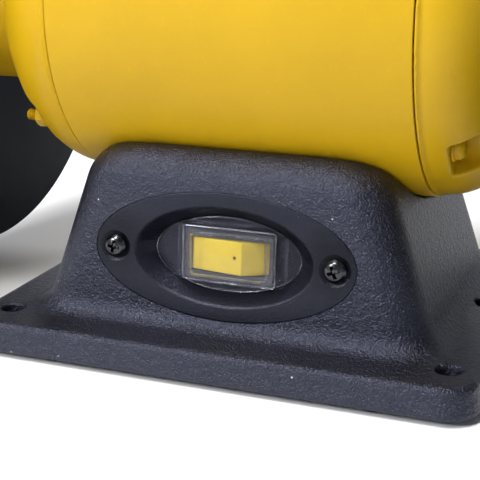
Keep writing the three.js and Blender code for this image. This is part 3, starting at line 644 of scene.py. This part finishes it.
def pan_screw(name, r, proud, shank, length, place, turn):
    """A Phillips pan head whose seat is at the local origin and whose head stands along the local -Y."""
    profile = [(length, 0), (length, shank), (0.1, shank), (0.1, r), (-0.35 * proud, r),
               (-0.8 * proud, r * 0.72), (-proud, r * 0.3), (-proud, 0)]
    head = turned_at(name, profile, [0, 0, 0, 0.2, 0.9, 1.2, 0.8, 0], 72, rot(90, "Z"))
    cut(head, *cross_recess(r * 1.15, proud * 0.75, -proud))
    head.data.transform(place @ rot(turn, "Y"))
    shade_smooth(head, 30)
    return head


def plate_screws():
    for name, side in SIDES.items():
        place = FACE_FRAME @ Matrix.Translation((side * PLATE_SCREW_X * MM, 0.4 * MM, 0))
        turn = {"left": 8, "right": -22}[name]
        screw = pan_screw(f"faceplate_screw_{name}", SCREW_HEAD_R, 2.7, 1.7, 9.6, place, turn)
        dress(screw, "black_screw", "frame", f"plate_screw_{name}")


def switch_housing():
    floor = TRAY["depth"]
    housing = face_box(30.6, 16.0, floor - 2.8, floor - 1.2, 1.3)
    add(housing, face_box(29.6, 13.2, floor - 1.4, floor + 24, 0.8))
    cut(housing, face_box(28.2, 12.0, floor - 4, floor + 10, 0.7))
    tabs = [face_box(0.8, 6.3, floor + 23, floor + 32, 0.2, SWITCH_X + x) for x in (-8, 0, 8)]
    add(housing, *tabs)
    bevel(housing, 0.3 * MM)
    dress(housing, "black_plastic", "frame", "switch_body")


def rocker():
    section = [(-12.8, 5.6), (-3.5, 3.8), (6.0, 2.3), (13.9, 7.9), (13.6, 9.6), (1, 14.5), (-12.8, 9)]
    radii = [0.5, 12.0, 0.7, 0.4, 0.4, 1.0, 0.4]
    outline = rounded([(u * MM, d * MM) for u, d in section], [r * MM for r in radii], 5)
    ends = ((SWITCH_Z - ROCKER_HALF) * MM, (SWITCH_Z + ROCKER_HALF) * MM)
    paddle = extrude("rocker_paddle", outline, ends, lambda p, z: FACE_FRAME @ Vector((p[0], p[1], z)))
    bevel(paddle, 0.45 * MM, 4, 50)
    dress(paddle, "rocker_yellow", "rocker", "rocker")


def inset(sides, by):
    left, right, bottom, top = sides
    return left + by, right - by, bottom + by, top - by


def face_outline(sides, depth, r):
    return [FACE_FRAME @ (Vector((u, depth, v)) * MM) for u, v in box_outline(*sides, r, 6)]


def face_band(name, sides, near, far, r):
    """A round-cornered band 0.5 mm thick, between two depths."""
    inner = inset(sides, 0.5)
    return ring_tube(name, [face_outline(sides, far, r), face_outline(sides, near, r),
                            face_outline(inner, near, r - 0.5), face_outline(inner, far, r - 0.5)])


def tapered(name, levels):
    """A round-cornered box whose sides change with depth; each level is (depth, sides, corner radius)."""
    return loft(name, [face_outline(sides, depth, r) for depth, sides, r in levels])


def switch_boot():
    """A clear vinyl hood that flares to its foot in the tray, a well over the rocker and a skirt round it."""
    (rim_a, rim_b), (floor_a, floor_b), floor = TRAY.values()
    front, foot, well = BOOT["front"], BOOT["foot"], BOOT["well"]
    hood = tapered("clear_boot", [(floor - 0.9, foot, 2.4), (-0.4, front, 1.7),
                                  (-0.8, inset(front, 0.15), 1.6), (-1.0, inset(front, 0.5), 1.4)])
    bowl = [(floor_a - 0.9, floor_b - 1.1, floor), (floor_a + 0.7, floor_b + 0.4, floor - 1.3),
            (rim_a - 1, rim_b - 0.8, 0.6), (rim_a - 1, rim_b - 0.8, -2)]
    combine(hood, [loft("room", [face_ring(*ring) for ring in bowl])], "INTERSECT")
    cut(hood, tapered("hollow", [(floor, inset(foot, 0.8), 1.6), (0.0, inset(front, 0.9), 1.2)]))
    add(hood, face_band("well", well, -0.5, 2.0, 2.0))
    shade_smooth(hood, 35)
    dress(hood, "clear_boot", "frame", "switch_boot")
    dish = [(floor_a - 1.1, floor_b - 1.2, floor - 0.1), (floor_a + 0.6, floor_b + 0.3, floor - 1.3),
            (floor_a + 0.6, floor_b + 0.3, floor - 1.6), (floor_a - 1.1, floor_b - 1.2, floor - 0.8)]
    skirt = loft("boot_skirt", [face_ring(*ring) for ring in dish])
    cut(skirt, face_box(*SWITCH_OPENING, floor - 1.5, floor + 1, 0.6))
    dress(skirt, "boot_skirt", "frame", slot="clear_boot")


def boot_lips():
    """The boot's thicker, paler lips: round its front, round the well over the rocker and round its skirt."""
    for name, near, far, r in (("front", -1.15, -0.65, 1.5), ("well", 1.65, 2.15, 2.0)):
        lip = face_band(f"boot_lip_{name}", BOOT[name], near, far, r)
        dress(bevel(lip, 0.15 * MM, 3, 60), "boot_lip", "frame", slot="clear_boot")
    a, b, depth = TRAY["floor"][0] + 0.5, TRAY["floor"][1] + 0.2, TRAY["depth"] - 1.9
    rings = [(a, b, depth + 0.4), (a, b, depth), (a - 0.4, b - 0.4, depth), (a - 0.4, b - 0.4, depth + 0.4)]
    lip = ring_tube("boot_lip_skirt", [face_ring(*ring) for ring in rings])
    dress(lip, "boot_lip", "frame", slot="clear_boot")


# ---------------- the motor
NECK_R, BELL_END, SEAM = 32.4, 122.5, 61.15
SHOULDER = {"x": 63.0, "axial": 30.5, "radial": 43.6, "r": 62.4}
BOLT_CIRCLE, BOLT_ANGLE = 54.9, math.radians(45.1)
HEAD_SEAT, NUT_SEAT = 70.0, 75.7
NUT_TURN = 0.3  # radians


def machine(x, y, z):
    """A point of the turning machinery, in millimetres from the middle of the shaft."""
    return SHAFT + Vector((x, y, z)) * MM


def shoulder():
    """The bell's round shoulder as (x, radius) points, from the shell down to the neck."""
    a, b, count = SHOULDER["axial"], SHOULDER["radial"], 24
    centre = SHOULDER["r"] - b
    last = math.acos((NECK_R - centre) / b)
    angles = [last * k / (count - 1) for k in range(count)]
    return [(SHOULDER["x"] + a * math.sin(t), centre + b * math.cos(t)) for t in angles]


def bolt_places():
    names = {"lower_front": (-1, -1), "upper_front": (-1, 1), "lower_rear": (1, -1), "upper_rear": (1, 1)}
    reach = (BOLT_CIRCLE * math.cos(BOLT_ANGLE), BOLT_CIRCLE * math.sin(BOLT_ANGLE))
    return {name: (y * reach[0], z * reach[1]) for name, (y, z) in names.items()}


def slab(name, outline, x0, x1):
    """An outline of (y, z) millimetres from the shaft, extruded along the shaft."""
    return extrude(name, outline, (x0, x1), lambda p, x: machine(x, p[0], p[1]))


def capsule(p, q, r, steps=16):
    """The outline of a strip with round ends at p and q."""
    angle = math.atan2(q[1] - p[1], q[0] - p[0])
    ends = [(q, angle - math.pi / 2), (p, angle + math.pi / 2)]
    return [(c[0] + r * math.cos(a + math.pi * k / steps), c[1] + r * math.sin(a + math.pi * k / steps))
            for c, a in ends for k in range(steps + 1)]


def turned(name, profile, radius, sides=96, y=0.0, z=0.0):
    """Turned about a line along X through (y, z); profile points are (x, radius) in millimetres."""
    return lathe(name, *in_mm(profile, radius), sides, machine(0, y, z))


def rod(name, x0, x1, r, y, z, radius=0, sides=32):
    return turned(name, [(x0, 0), (x0, r), (x1, r), (x1, 0)], radius, sides, y, z)


def end_bell(seat):
    """The right-hand bell, with its bolt pockets cut back to seat."""
    start = SEAM + 0.12
    profile = [(start, 40), (start, 63.3), (start + 0.25, 63.5), (start + 0.9, 63.1), *shoulder()]
    profile += [(BELL_END, NECK_R), (BELL_END, 10.2), (96, 10.2), (66, 40)]
    radii = [0] * len(profile)
    radii[-4] = 1.2
    bell = turned("bell", profile, radii, 180)
    out = 1.45
    pockets = [slab("pocket", capsule((y, z), (y * out, z * out), 8.5, 24), seat, 110)
               for y, z in bolt_places().values()]
    cut(bell, *pockets)
    return soften(bell, 0.6 * MM, 4, 0.45)


def hex_nut(name, r, x0, x1, y=0.0, z=0.0, bore=0.0):
    """A hexagon with both faces chamfered as a real nut's are."""
    corners = [NUT_TURN + math.pi * k / 3 for k in range(6)]
    nut = slab(name, [(y + r * math.cos(t), z + r * math.sin(t)) for t in corners], x0, x1)
    flat, wide, chamfer = r * 0.9, r * 1.02, 0.18 * r
    cone = [(x0, 0), (x0, flat), (x0 + chamfer, wide), (x1 - chamfer, wide), (x1, flat), (x1, 0)]
    combine(nut, [turned("mask", cone, 0, 48, y, z)], "INTERSECT")
    if bore:
        cut(nut, rod("bore", x0 - 1, x1 + 1, bore, y, z, sides=48))
    shade_smooth(nut, 24)
    return nut


def through_bolt(name, y, z):
    tip, pitch = 83.4, 0.7
    thread = [(-tip, 0), (-tip, 1.5), (-tip + 0.5, 1.95)]
    for k in range(11):
        x = -tip + 0.7 + k * pitch
        thread += [(x, 2.0), (x + pitch / 2, 1.62)]
    head = [(0, 2.0), (0, 4.5), (0.9, 4.5), (0.9, 3.7), (2.6, 3.6), (3.9, 2.4), (4.1, 0)]
    profile = [*thread, (-70, 2.0), *[(HEAD_SEAT + x, r) for x, r in head]]
    radii = [0] * (len(profile) - 6) + [0.25, 0.2, 0.1, 0.7, 1.2, 0]
    bolt = turned(f"bolt_{name}", profile, radii, 48, y, z)
    nut = hex_nut("nut", 4.04, -NUT_SEAT - 3.3, -NUT_SEAT, y, z)
    add(bolt, nut)
    shade_smooth(bolt, 28)
    dress(bolt, "motor_paint", "frame", f"through_bolt_{name}")


def motor():
    shell = [(-61.06, 63.5), (61.06, 63.5), (61.06, 60.5), (-61.06, 60.5)]
    dress(turned("motor_barrel", shell, 0.3, 256), "motor_paint", "frame", "motor_shell")
    right, left = end_bell(HEAD_SEAT), end_bell(NUT_SEAT)
    left.data.transform(Matrix.Scale(-1, 4, (1, 0, 0)))
    left.data.flip_normals()
    for obj, side in ((left, "left"), (right, "right")):
        obj.name = f"bell_{side}"
        dress(obj, "motor_paint", "frame", f"end_bell_{side}")
    for name, (y, z) in bolt_places().items():
        through_bolt(name, y, z)


def both_sides(piece, name, finish, body, *nodes):
    """Dresses a right-hand piece and its mirror image; {} in a name stands for the side."""
    piece.name = piece.data.name = name.format("right")
    for side, obj in (("right", piece), ("left", mirror(piece, name.format("left")))):
        look = finish[side] if isinstance(finish, dict) else finish
        dress(obj, look, body.format(side), *[node.format(side) for node in nodes])


# ---------------- wheels and arbor (right-hand side)
WHEEL_X0, WHEEL_X1, WHEEL_R = 131.8, 151.8, 75.0
WHEEL_X = (WHEEL_X0 + WHEEL_X1) / 2
BORE_R = 6.5


def wheels():
    abrasive = {"left": "abrasive_coarse", "right": "abrasive_fine"}
    x0, x1 = WHEEL_X0, WHEEL_X1
    disc = [(x0, BORE_R), (x0, WHEEL_R), (x1, WHEEL_R), (x1, BORE_R)]
    wheel = turned("wheel", disc, [0, 1.3, 1.3, 0], 192)
    both_sides(wheel, "wheel_{}", abrasive, "rotor", "grinding_wheel_{}")
    x0, x1 = 126.5, WHEEL_X0
    dish = [(x0, 12), (x0, BORE_R), (x1 - 1, BORE_R), (x1 - 1, 18), (x1, 18), (x1, 25), (x1 - 2.5, 25)]
    inner = turned("inner", dish, 0.3)
    both_sides(inner, "washer_inner_{}", "zinc", "rotor", "inner_flange_{}")
    x0 = WHEEL_X1
    dish = [(x0, 25), (x0, 18), (x0 + 1, 18), (x0 + 1, BORE_R), (x0 + 4, BORE_R), (x0 + 4, 12),
            (x0 + 2.5, 25)]
    outer = turned("outer", dish, 0.4)
    both_sides(outer, "washer_outer_{}", "zinc", "rotor", "outer_flange_{}")
    nut = hex_nut("nut", 10.9, x0 + 4.3, x0 + 11.1, bore=6.4)
    both_sides(nut, "nut_{}", "zinc", "rotor", "arbor_nut_{}")
    arbor()


def arbor():
    """The shaft, with threaded ends that take the wheel nuts."""
    end, pitch = 164.2, 1.27
    thread = [(end, 0), (end, 4.9), (end - 0.8, 6.0)]
    for k in range(10):
        x = end - 1.1 - k * pitch
        thread += [(x, 6.2), (x - pitch / 2, 5.7)]
    half = [*thread, (150, 6.2), (126.2, 6.2), (126.2, 7.3), (107.6, 7.3), (107.6, 9.5), (60, 9.5), (60, 12)]
    profile = half + [(-x, r) for x, r in reversed(half)]
    dress(turned("arbor", profile, 0, 64), "ground_steel", "rotor", "shaft")


# ---------------- guards (right-hand side)
GUARD_R, GUARD_X0, GUARD_X1, COVER_X0, COVER_X1 = 98.7, 122.8, 164.9, 165.2, 167.7
OPEN_FROM, OPEN_TO, OPEN_R = -12, 50, 66
COVER_SCREWS = {1: 105, 2: 180, 3: 255}
COVER_SCREW_R = GUARD_R - 9
SPARK_ANGLE, SPARK_SLOT_X = 48.4, 9


def polar(r, deg):
    """(y, z) at a radius and an angle measured up from the front."""
    return (-r * math.cos(math.radians(deg)), r * math.sin(math.radians(deg)))


def mouth(x0, x1):
    arc = [polar(OPEN_R, OPEN_FROM + (OPEN_TO - OPEN_FROM) * k / 24) for k in range(25)]
    far = [polar(GUARD_R + 30, OPEN_TO), polar(1.6 * GUARD_R, (OPEN_FROM + OPEN_TO) / 2),
           polar(GUARD_R + 30, OPEN_FROM)]
    return slab("mouth", rounded(arc + far, [0.1] * 25 + [0, 0, 0]), x0, x1)


def radial_plate(deg, r0, r1, half_x, thick, corner, x=WHEEL_X):
    """A flat plate along a radius, at an angle up from the front, with rounded corners."""
    outline = box_outline(x - half_x, x + half_x, -r1, -r0, corner)
    turn = Matrix.Rotation(math.radians(-deg), 3, "X")
    ends = (-thick / 2, thick / 2)
    return extrude("plate", outline, ends, lambda p, z: SHAFT + turn @ (Vector((p[0], p[1], z)) * MM))


def guards():
    x0, x1, r = GUARD_X0, GUARD_X1, GUARD_R
    dish = [(x0 + 0.9, 15), (x0 + 0.9, 39), (x0, 46), (x0, r), (x1, r), (x1, r - 2.5),
            (x0 + 2.5, r - 2.5), (x0 + 2.5, 46), (x0 + 3.4, 39), (x0 + 3.4, 15)]
    cup = turned("cup", dish, [0.3, 6, 6, 0.6, 0.4, 0.4, 2.0, 6, 6, 0.3], 224)
    cut(cup, mouth(x0 - 5, x1 + 5))
    additions = [rod("lug", x0 + 1, x1, 5, *polar(COVER_SCREW_R, deg), 0.3) for deg in COVER_SCREWS.values()]
    additions.append(radial_plate(SPARK_ANGLE + 3.2, r - 2.9, r + 11, 17, 2.6, 3))
    add(cup, *additions)
    cut(cup, rod("hole", x0 - 2, x0 + 8, 3.4, *REST_BOLT))
    both_sides(bevel(cup, 0.35 * MM, 2, 50), "guard_cup_{}", "guard_paint", "frame", "guard_{}")
    c0, c1 = COVER_X0 - 0.2, COVER_X1
    face = [(c0, 0), (c0, r), (c1, r), (c1, 62), (c1 - 0.8, 58), (c1 - 0.8, 30), (c1, 26), (c1, 0)]
    cover = cut(turned("cover", face, [0, 0.2, 1.0, 3, 3, 3, 3, 0], 224), mouth(c0 - 5, c1 + 5))
    both_sides(bevel(cover, 0.35 * MM, 2, 50), "guard_face_{}", "guard_paint", "frame", "guard_cover_{}")
    for number, deg in COVER_SCREWS.items():
        y, z = polar(COVER_SCREW_R, deg)
        seat = Matrix.Translation(machine(c1 + 0.1, y, z)) @ rot(90, "Z")
        screw = pan_screw("screw", SCREW_HEAD_R, 2.9, 1.6, 9.0, seat, 37 * number)
        both_sides(screw, f"cover_fastener_{number}_{{}}", "black_screw", "frame",
                   f"cover_screw_{number}_{{}}")


def spark_arrestors():
    plate = radial_plate(SPARK_ANGLE, 77.2, 104, 17, 2, 2.5)
    slots = [radial_plate(SPARK_ANGLE, 85.2, 102, 2, 6, 1.95, WHEEL_X + x)
             for x in (-SPARK_SLOT_X, SPARK_SLOT_X)]
    cut(plate, *slots)
    both_sides(bevel(plate, 0.3 * MM, 2), "arrestor_{}", "zinc", "spark_arrestor_{}", "spark_arrestor_{}")
    for number, x in ((1, -SPARK_SLOT_X), (2, SPARK_SLOT_X)):
        y, z = polar(99.5, SPARK_ANGLE)
        turn = rot(-SPARK_ANGLE, "X") @ rot(90, "X")
        seat = Matrix.Translation(machine(WHEEL_X + x, y, z)) @ turn @ Matrix.Translation((0, -1.1 * MM, 0))
        screw = pan_screw("screw", 3.4, 2.2, 1.6, 6.0, seat, 25 * number)
        both_sides(screw, f"arrestor_screw_{number}_{{}}", "zinc", "frame")


# ---------------- rests, shields and knobs (right-hand side)
STRIP_X0, STRIP_X1 = 119.4, 122.4
REST_PIVOT, REST_BOLT, REST_SLIDE = (-106, -14), (-82, -32), 12
SHIELD_HINGE, SHIELD_SLOPE, SHIELD_HALF = (-52, 104), -35, 45
STUD_HOLE_R = 3.1


def tool_rests():
    x0, x1 = WHEEL_X - 28, WHEEL_X + 28
    outline = rounded([(x0, -126), (x1, -126), (x1, -78.5), (x0, -78.5)], [6, 6, 1.2, 1.2], 8)
    plate = extrude("plate", outline, (-6, -1), lambda p, z: machine(p[0], p[1], z))
    ear0, ear1 = STRIP_X1 + 0.5, STRIP_X1 + 5.5
    ear = slab("ear", capsule(REST_PIVOT, (REST_PIVOT[0], -7), 7), ear0, ear1)
    top = slab("top", [(-116, -1.5), (-96, -1.5), (-96, 12), (-116, 12)], ear0 - 1, ear1 + 1)
    cut(ear, top)
    add(plate, ear)
    groove = [(-130, -2.2), (-86.5, -2.2), (-86.5, 2), (-130, 2)]
    groove = slab("groove", groove, WHEEL_X - 1.5, WHEEL_X + 1.5)
    pivot = rod("pivot", ear0 - 1, ear1 + 1, 3, *REST_PIVOT)
    cut(plate, groove, pivot)
    both_sides(bevel(plate, 0.5 * MM, 3), "rest_table_{}", "cast_rest", "rest_{}", "tool_rest_{}")
    slot_end = (REST_BOLT[0] + REST_SLIDE, REST_BOLT[1])
    arm = slab("arm", capsule(REST_PIVOT, REST_BOLT, 8), STRIP_X0, STRIP_X1)
    foot = slab("foot", capsule(REST_BOLT, slot_end, 9), STRIP_X0, STRIP_X1)
    add(arm, foot)
    cut(arm, slab("slot", capsule(REST_BOLT, slot_end, 3.4), STRIP_X0 - 1, STRIP_X1 + 1))
    bevel(arm, 0.4 * MM, 3)
    pin = rod("pin", 116.4, 129.2, 2.7, *REST_PIVOT, [0, 0.3, 0.5, 0])
    head = hex_nut("head", 5.0, STRIP_X0 - 4, STRIP_X0 + 0.5, *REST_PIVOT)
    add(arm, pin, head)
    arm.data.set_sharp_from_angle(angle=math.radians(28))
    both_sides(arm, "rest_arm_strip_{}", "zinc", "rest_arm_{}", "rest_bracket_{}")


def knob(centre, grip0, grip1, shank_end, r):
    """A six-lobed clamping knob with a rounded, dished grip, on a steel stud."""
    y, z = centre
    face = [(1.6, 0.25), (1.4, 0.5), (0.6, 0.62), (0, 0.76), (0.3, 0.88), (1.2, 0.96), (2.6, 1.0)]
    back = [(5.0, 1.0), (4.0, 0.97), (3.4, 0.88), (3.2, 0.62), (0.6, 0.5), (0, 0.44), (0, 0.25)]
    rings = []
    for x, scale in [(grip0 + x, q) for x, q in face] + [(grip1 - x, q) for x, q in back]:
        ring = []
        for k in range(120):
            t = 2 * math.pi * k / 120
            lobe = 0.9 + 0.1 * math.cos(6 * t) if scale > 0.8 else 0.88
            ring.append(machine(x, y + r * scale * lobe * math.cos(t), z + r * scale * lobe * math.sin(t)))
        rings.append(ring)
    grip = loft("grip", rings)
    shade_smooth(grip, 60)
    return grip, rod("stud", grip0 + 1.2, shank_end, 2.8, y, z, [0, 0.3, 0.6, 0], 40)


def knobs():
    places = {"rest": (REST_BOLT, 14, 130.8, 12), "shield": (SHIELD_HINGE, 12, 129.3, 10)}
    for kind, (centre, reach, shank_end, r) in places.items():
        grip, stud = knob(centre, STRIP_X0 - reach, STRIP_X0 - 0.3, shank_end, r)
        both_sides(grip, f"{kind}_grip_{{}}", "black_plastic", f"{kind}_knob_{{}}", f"{kind}_knob_{{}}")
        both_sides(stud, f"{kind}_stud_{{}}", "zinc", f"{kind}_knob_{{}}")


def shields():
    root = (-43, 76)
    arm = slab("arm", capsule(root, SHIELD_HINGE, 8), STRIP_X0, STRIP_X1)
    disc = slab("disc", capsule(root, (root[0] + 0.01, root[1]), 11, 24), STRIP_X0, STRIP_X1)
    add(arm, disc)
    bevel(cut(arm, rod("hole", 118, 124, STUD_HOLE_R, *SHIELD_HINGE)), 0.4 * MM, 3)
    dome = [(STRIP_X0 + 1, 0), (STRIP_X0 + 1, 2.6), (STRIP_X0 - 1.4, 1.8), (STRIP_X0 - 1.8, 0)]
    rivets = [turned("rivet", dome, [0, 0, 0.8, 0], 32, root[0] + 5 * side, root[1] + 2 * side)
              for side in (-1, 1)]
    add(arm, *rivets)
    both_sides(arm, "shield_arm_{}", "zinc", "frame", "shield_bracket_{}")
    place = Matrix.Translation(machine(0, *SHIELD_HINGE)) @ rot(-SHIELD_SLOPE, "X")
    x0, x1 = WHEEL_X - SHIELD_HALF, WHEEL_X + SHIELD_HALF
    corners = [(x * MM, y * MM) for x, y in ((x0, -15.5), (x0, -84), (x1, -84), (x1, -15.5))]
    lens = prism("lens", rounded(corners, [0, 10 * MM, 10 * MM, 0], 12), -1.5 * MM, 1.5 * MM,
                 place @ rot(90, "X") @ Matrix.Scale(-1, 4, (0, 0, 1)))
    both_sides(bevel(lens, 0.6 * MM, 3), "shield_lens_{}", "shield_clear", "shield_{}", "eye_shield_{}")
    bar = bevel(tilted_box(place, x0, x1, -18.5, -12.5, -3, 3), 0.9 * MM, 4)
    ear0, ear1 = STRIP_X1 + 0.5, STRIP_X1 + 5
    hub = turned_at("hub", [(ear0, 0), (ear0, 6), (ear1, 6), (ear1, 0)], 0.5, 64, place)
    add(bar, bevel(tilted_box(place, ear0, ear1, -13.5, 0, -3, 3), 0.4 * MM), hub)
    bore = turned_at("bore", [(100, 0), (100, STUD_HOLE_R), (200, STUD_HOLE_R), (200, 0)], 0, 32, place)
    cut(bar, bore)
    profile = [(-3.9, 0), (-3.6, 1.6), (-2.5, 2.3), (0, 2.3), (0, 0)]
    spots = [Vector((WHEEL_X + x, -15.5, 0)) * MM for x in (-36, 0, 36)]
    seats = [place @ Matrix.Translation(spot) @ rot(-90, "Y") for spot in spots]
    add(bar, *[turned_at("head", profile, 0.3, 32, seat) for seat in seats])
    both_sides(bar, "shield_clamp_{}", "guard_paint", "shield_{}")


def tilted_box(place, x0, x1, y0, y1, z0, z1):
    corners = ((x0, y0), (x1, y0), (x1, y1), (x0, y1))
    verts = [place @ (Vector((x, y, z)) * MM) for z in (z0, z1) for x, y in corners]
    faces = [(3, 2, 1, 0), (4, 5, 6, 7), (0, 1, 5, 4), (1, 2, 6, 5), (2, 3, 7, 6), (3, 0, 4, 7)]
    return build("box", verts, faces, smooth=False)


# ---------------- feet, cover and cord gland
FOOT_X, FOOT_EDGE = 56, 12


def underside():
    """Four rubber feet, each on a stud, and the vented cover sheet, cut away round them."""
    rows = {"front": FOOT_EDGE, "rear": FLANGE["depth"] - FOOT_EDGE}
    profile = [(-2, 0), (-2, 8), (-0.1, 7.4), (-0.1, 2.3), (4.6, 2.3), (4.6, 0)]
    for row, y in rows.items():
        for side_name, side in SIDES.items():
            name, centre = f"{row}_{side_name}", BASE + Vector((side * FOOT_X, y, 0)) * MM
            pad = lathe(f"bumper_{name}", *in_mm(profile, 0.4), 64, centre, "Z")
            dress(pad, "rubber", "frame", f"foot_{name}")
    sheet = loft("cover_sheet", [rounded_ring(73.6, 16.4, 133.6, 9.6, z) for z in (0.4, 2.0)])
    vents = []
    for x in (-30, -15, 0, 15, 30):
        vents.append(loft("vent", [rounded_ring(2, 60, 95, 1.9, z) for z in (-1, 3)]))
        vents[-1].data.transform(Matrix.Translation((x * MM, 0, 0)))
    corners = [post("corner", side * FOOT_X, y, -1, 3, 8.6) for side in (-1, 1) for y in rows.values()]
    cut(sheet, *vents, *corners)
    dress(bevel(sheet, 0.25 * MM, 2), "zinc", "frame", "bottom_cover")


def cord_gland():
    """The inlet in the rear wall: a hexagonal collar, a ribbed dome nut and its bore."""
    x, z = -34, 30
    wall = PEDESTAL["rear"] - (z - FLANGE["thick"]) * math.tan(FACE_TILT)
    spot = BASE + Vector((x, 0, z)) * MM
    swing = Matrix.Translation(spot) @ rot(90, "Z")
    points = 48
    rings = []
    for out, r, rib in ((-8, 6, 0), (1.6, 6, 0), (1.6, 7.0, 0), (4.5, 7.0, 0), (4.7, 6.9, 0.3),
                        (8.2, 6.8, 0.3), (8.4, 6.6, 0), (10.2, 5.9, 0), (11, 5.0, 0), (11, 3.6, 0),
                        (9, 3.4, 0), (-8, 3.4, 0)):
        ring = []
        for k in range(points):
            t, reach = 2 * math.pi * k / points, r - rib * (k % 2)
            ring.append(spot + Vector((reach * math.cos(t), wall + out, reach * math.sin(t))) * MM)
        rings.append(ring)
    dome = ring_tube("inlet_nut", rings)
    near, far = wall + 1, wall + 4.4
    collar = turned_at("collar", [(near, 5), (near, 8.9), (far, 8.9), (far, 5)], 0, 6, swing)
    add(dome, bevel(collar, 0.5 * MM, 3, 30))
    dome.data.set_sharp_from_angle(angle=math.radians(30))
    dress(dome, "black_plastic", "frame", "cord_gland")


def ring_tube(name, rings):
    """Rings joined one to the next and the last back to the first, as a tube with a wall."""
    n, count = len(rings[0]), len(rings)
    faces = [(i * n + j, i * n + (j + 1) % n, (i + 1) % count * n + (j + 1) % n, (i + 1) % count * n + j)
             for i in range(count) for j in range(n)]
    return build(name, [p for ring in rings for p in ring], faces)


# ---------------- stage, lights and camera
LENS, SENSOR = 90.2, 36.0
CAMERA_AT = Vector((141.78, -325.43, 155.69))  # from the middle of the base's front bottom edge
AZIMUTH, PITCH = math.radians(21.28), math.radians(16.87)  # how far it looks left of straight back, and down
FLOOR_HALF = 12.0  # metres
SKY_STRENGTH = {"horizon": 0.8, "above": 0.2}
SKY_FADE = 0.5  # the height, as a share of straight up, where the sky has faded to its upper strength
SKY_TURN = -0.4  # where its colour starts to change, going right from -1 to 1
SKY_LEFT, SKY_RIGHT = (0.94, 0.97, 1, 1), (0.40, 0.45, 0.53, 1)


def camera():
    """The viewpoint stands to the right of the switch and looks a little down."""
    data = bpy.data.cameras.new("camera")
    data.lens, data.sensor_width = LENS, SENSOR
    data.clip_start, data.clip_end = 0.01, 20
    cam = bpy.data.objects.new("camera", data)
    bpy.context.scene.collection.objects.link(cam)
    level = math.cos(PITCH)
    look = Vector((-math.sin(AZIMUTH) * level, math.cos(AZIMUTH) * level, -math.sin(PITCH)))
    cam.location = BASE + CAMERA_AT * MM
    cam.rotation_mode = "QUATERNION"
    cam.rotation_quaternion = look.to_track_quat("-Z", "Y")
    bpy.context.scene.camera = cam


def lamp(name, place, aim, size, power, colour=(1, 1, 1)):
    data = bpy.data.lights.new(name, "AREA")
    data.shape, data.size, data.energy, data.color = "DISK", size, power, colour
    obj = bpy.data.objects.new(name, data)
    obj.location = place
    obj.rotation_mode = "QUATERNION"
    obj.rotation_quaternion = (Vector(aim) - Vector(place)).to_track_quat("-Z", "Y")
    bpy.context.scene.collection.objects.link(obj)


def stage():
    """A pale floor, a sky that dims upwards and to the right, and four soft lamps."""
    a = FLOOR_HALF
    floor = build("floor", [(-a, -a, 0), (a, -a, 0), (a, a, 0), (-a, a, 0)], [(0, 1, 2, 3)])
    look = Look("floor_white", (0.93, 0.93, 0.93), 0.8)
    look.tint(look.ramp(look.noise(0.4, 2), 0.3, 0.7), (0.92, 0.92, 0.925))
    floor.data.materials.append(look.material)
    world = bpy.data.worlds.new("studio")
    world.use_nodes = True
    tree = world.node_tree
    new, wire, backdrop = tree.nodes.new, tree.links.new, tree.nodes["Background"].inputs
    coords, split = new("ShaderNodeTexCoord"), new("ShaderNodeSeparateXYZ")
    fade = new("ShaderNodeMapRange")
    fade.inputs["From Max"].default_value = SKY_FADE
    fade.inputs["To Min"].default_value = SKY_STRENGTH["horizon"]
    fade.inputs["To Max"].default_value = SKY_STRENGTH["above"]
    wire(coords.outputs["Generated"], split.inputs["Vector"])
    wire(split.outputs["Z"], fade.inputs["Value"])
    wire(fade.outputs["Result"], backdrop["Strength"])
    side, sky = new("ShaderNodeMapRange"), new("ShaderNodeValToRGB")
    side.inputs["From Min"].default_value = SKY_TURN
    sky.color_ramp.elements[0].color, sky.color_ramp.elements[1].color = SKY_LEFT, SKY_RIGHT
    wire(split.outputs["X"], side.inputs["Value"])
    wire(side.outputs["Result"], sky.inputs["Fac"])
    wire(sky.outputs["Color"], backdrop["Color"])
    bpy.context.scene.world = world
    middle = Vector((0, 0, 0.1))
    lamp("overhead", (-0.45, -0.75, 1.9), middle, 0.75, 38)
    lamp("key", (-1.0, -1.5, 1.05), middle, 0.6, 27)
    lamp("fill", (1.6, -0.8, 0.7), middle, 0.9, 1.0, (0.5, 0.7, 1.0))
    lamp("back", (-0.6, 1.7, 1.4), Vector((0.3, 0.7, 0)), 1.0, 20)


camera()
dress_cad_nodes()
base_casting()
switch_plate()
plate_screws()
switch_housing()
rocker()
switch_boot()
boot_lips()
motor()
wheels()
guards()
spark_arrestors()
tool_rests()
knobs()
shields()
underside()
cord_gland()
stage()
bpy.context.scene.view_settings.view_transform = "Standard"
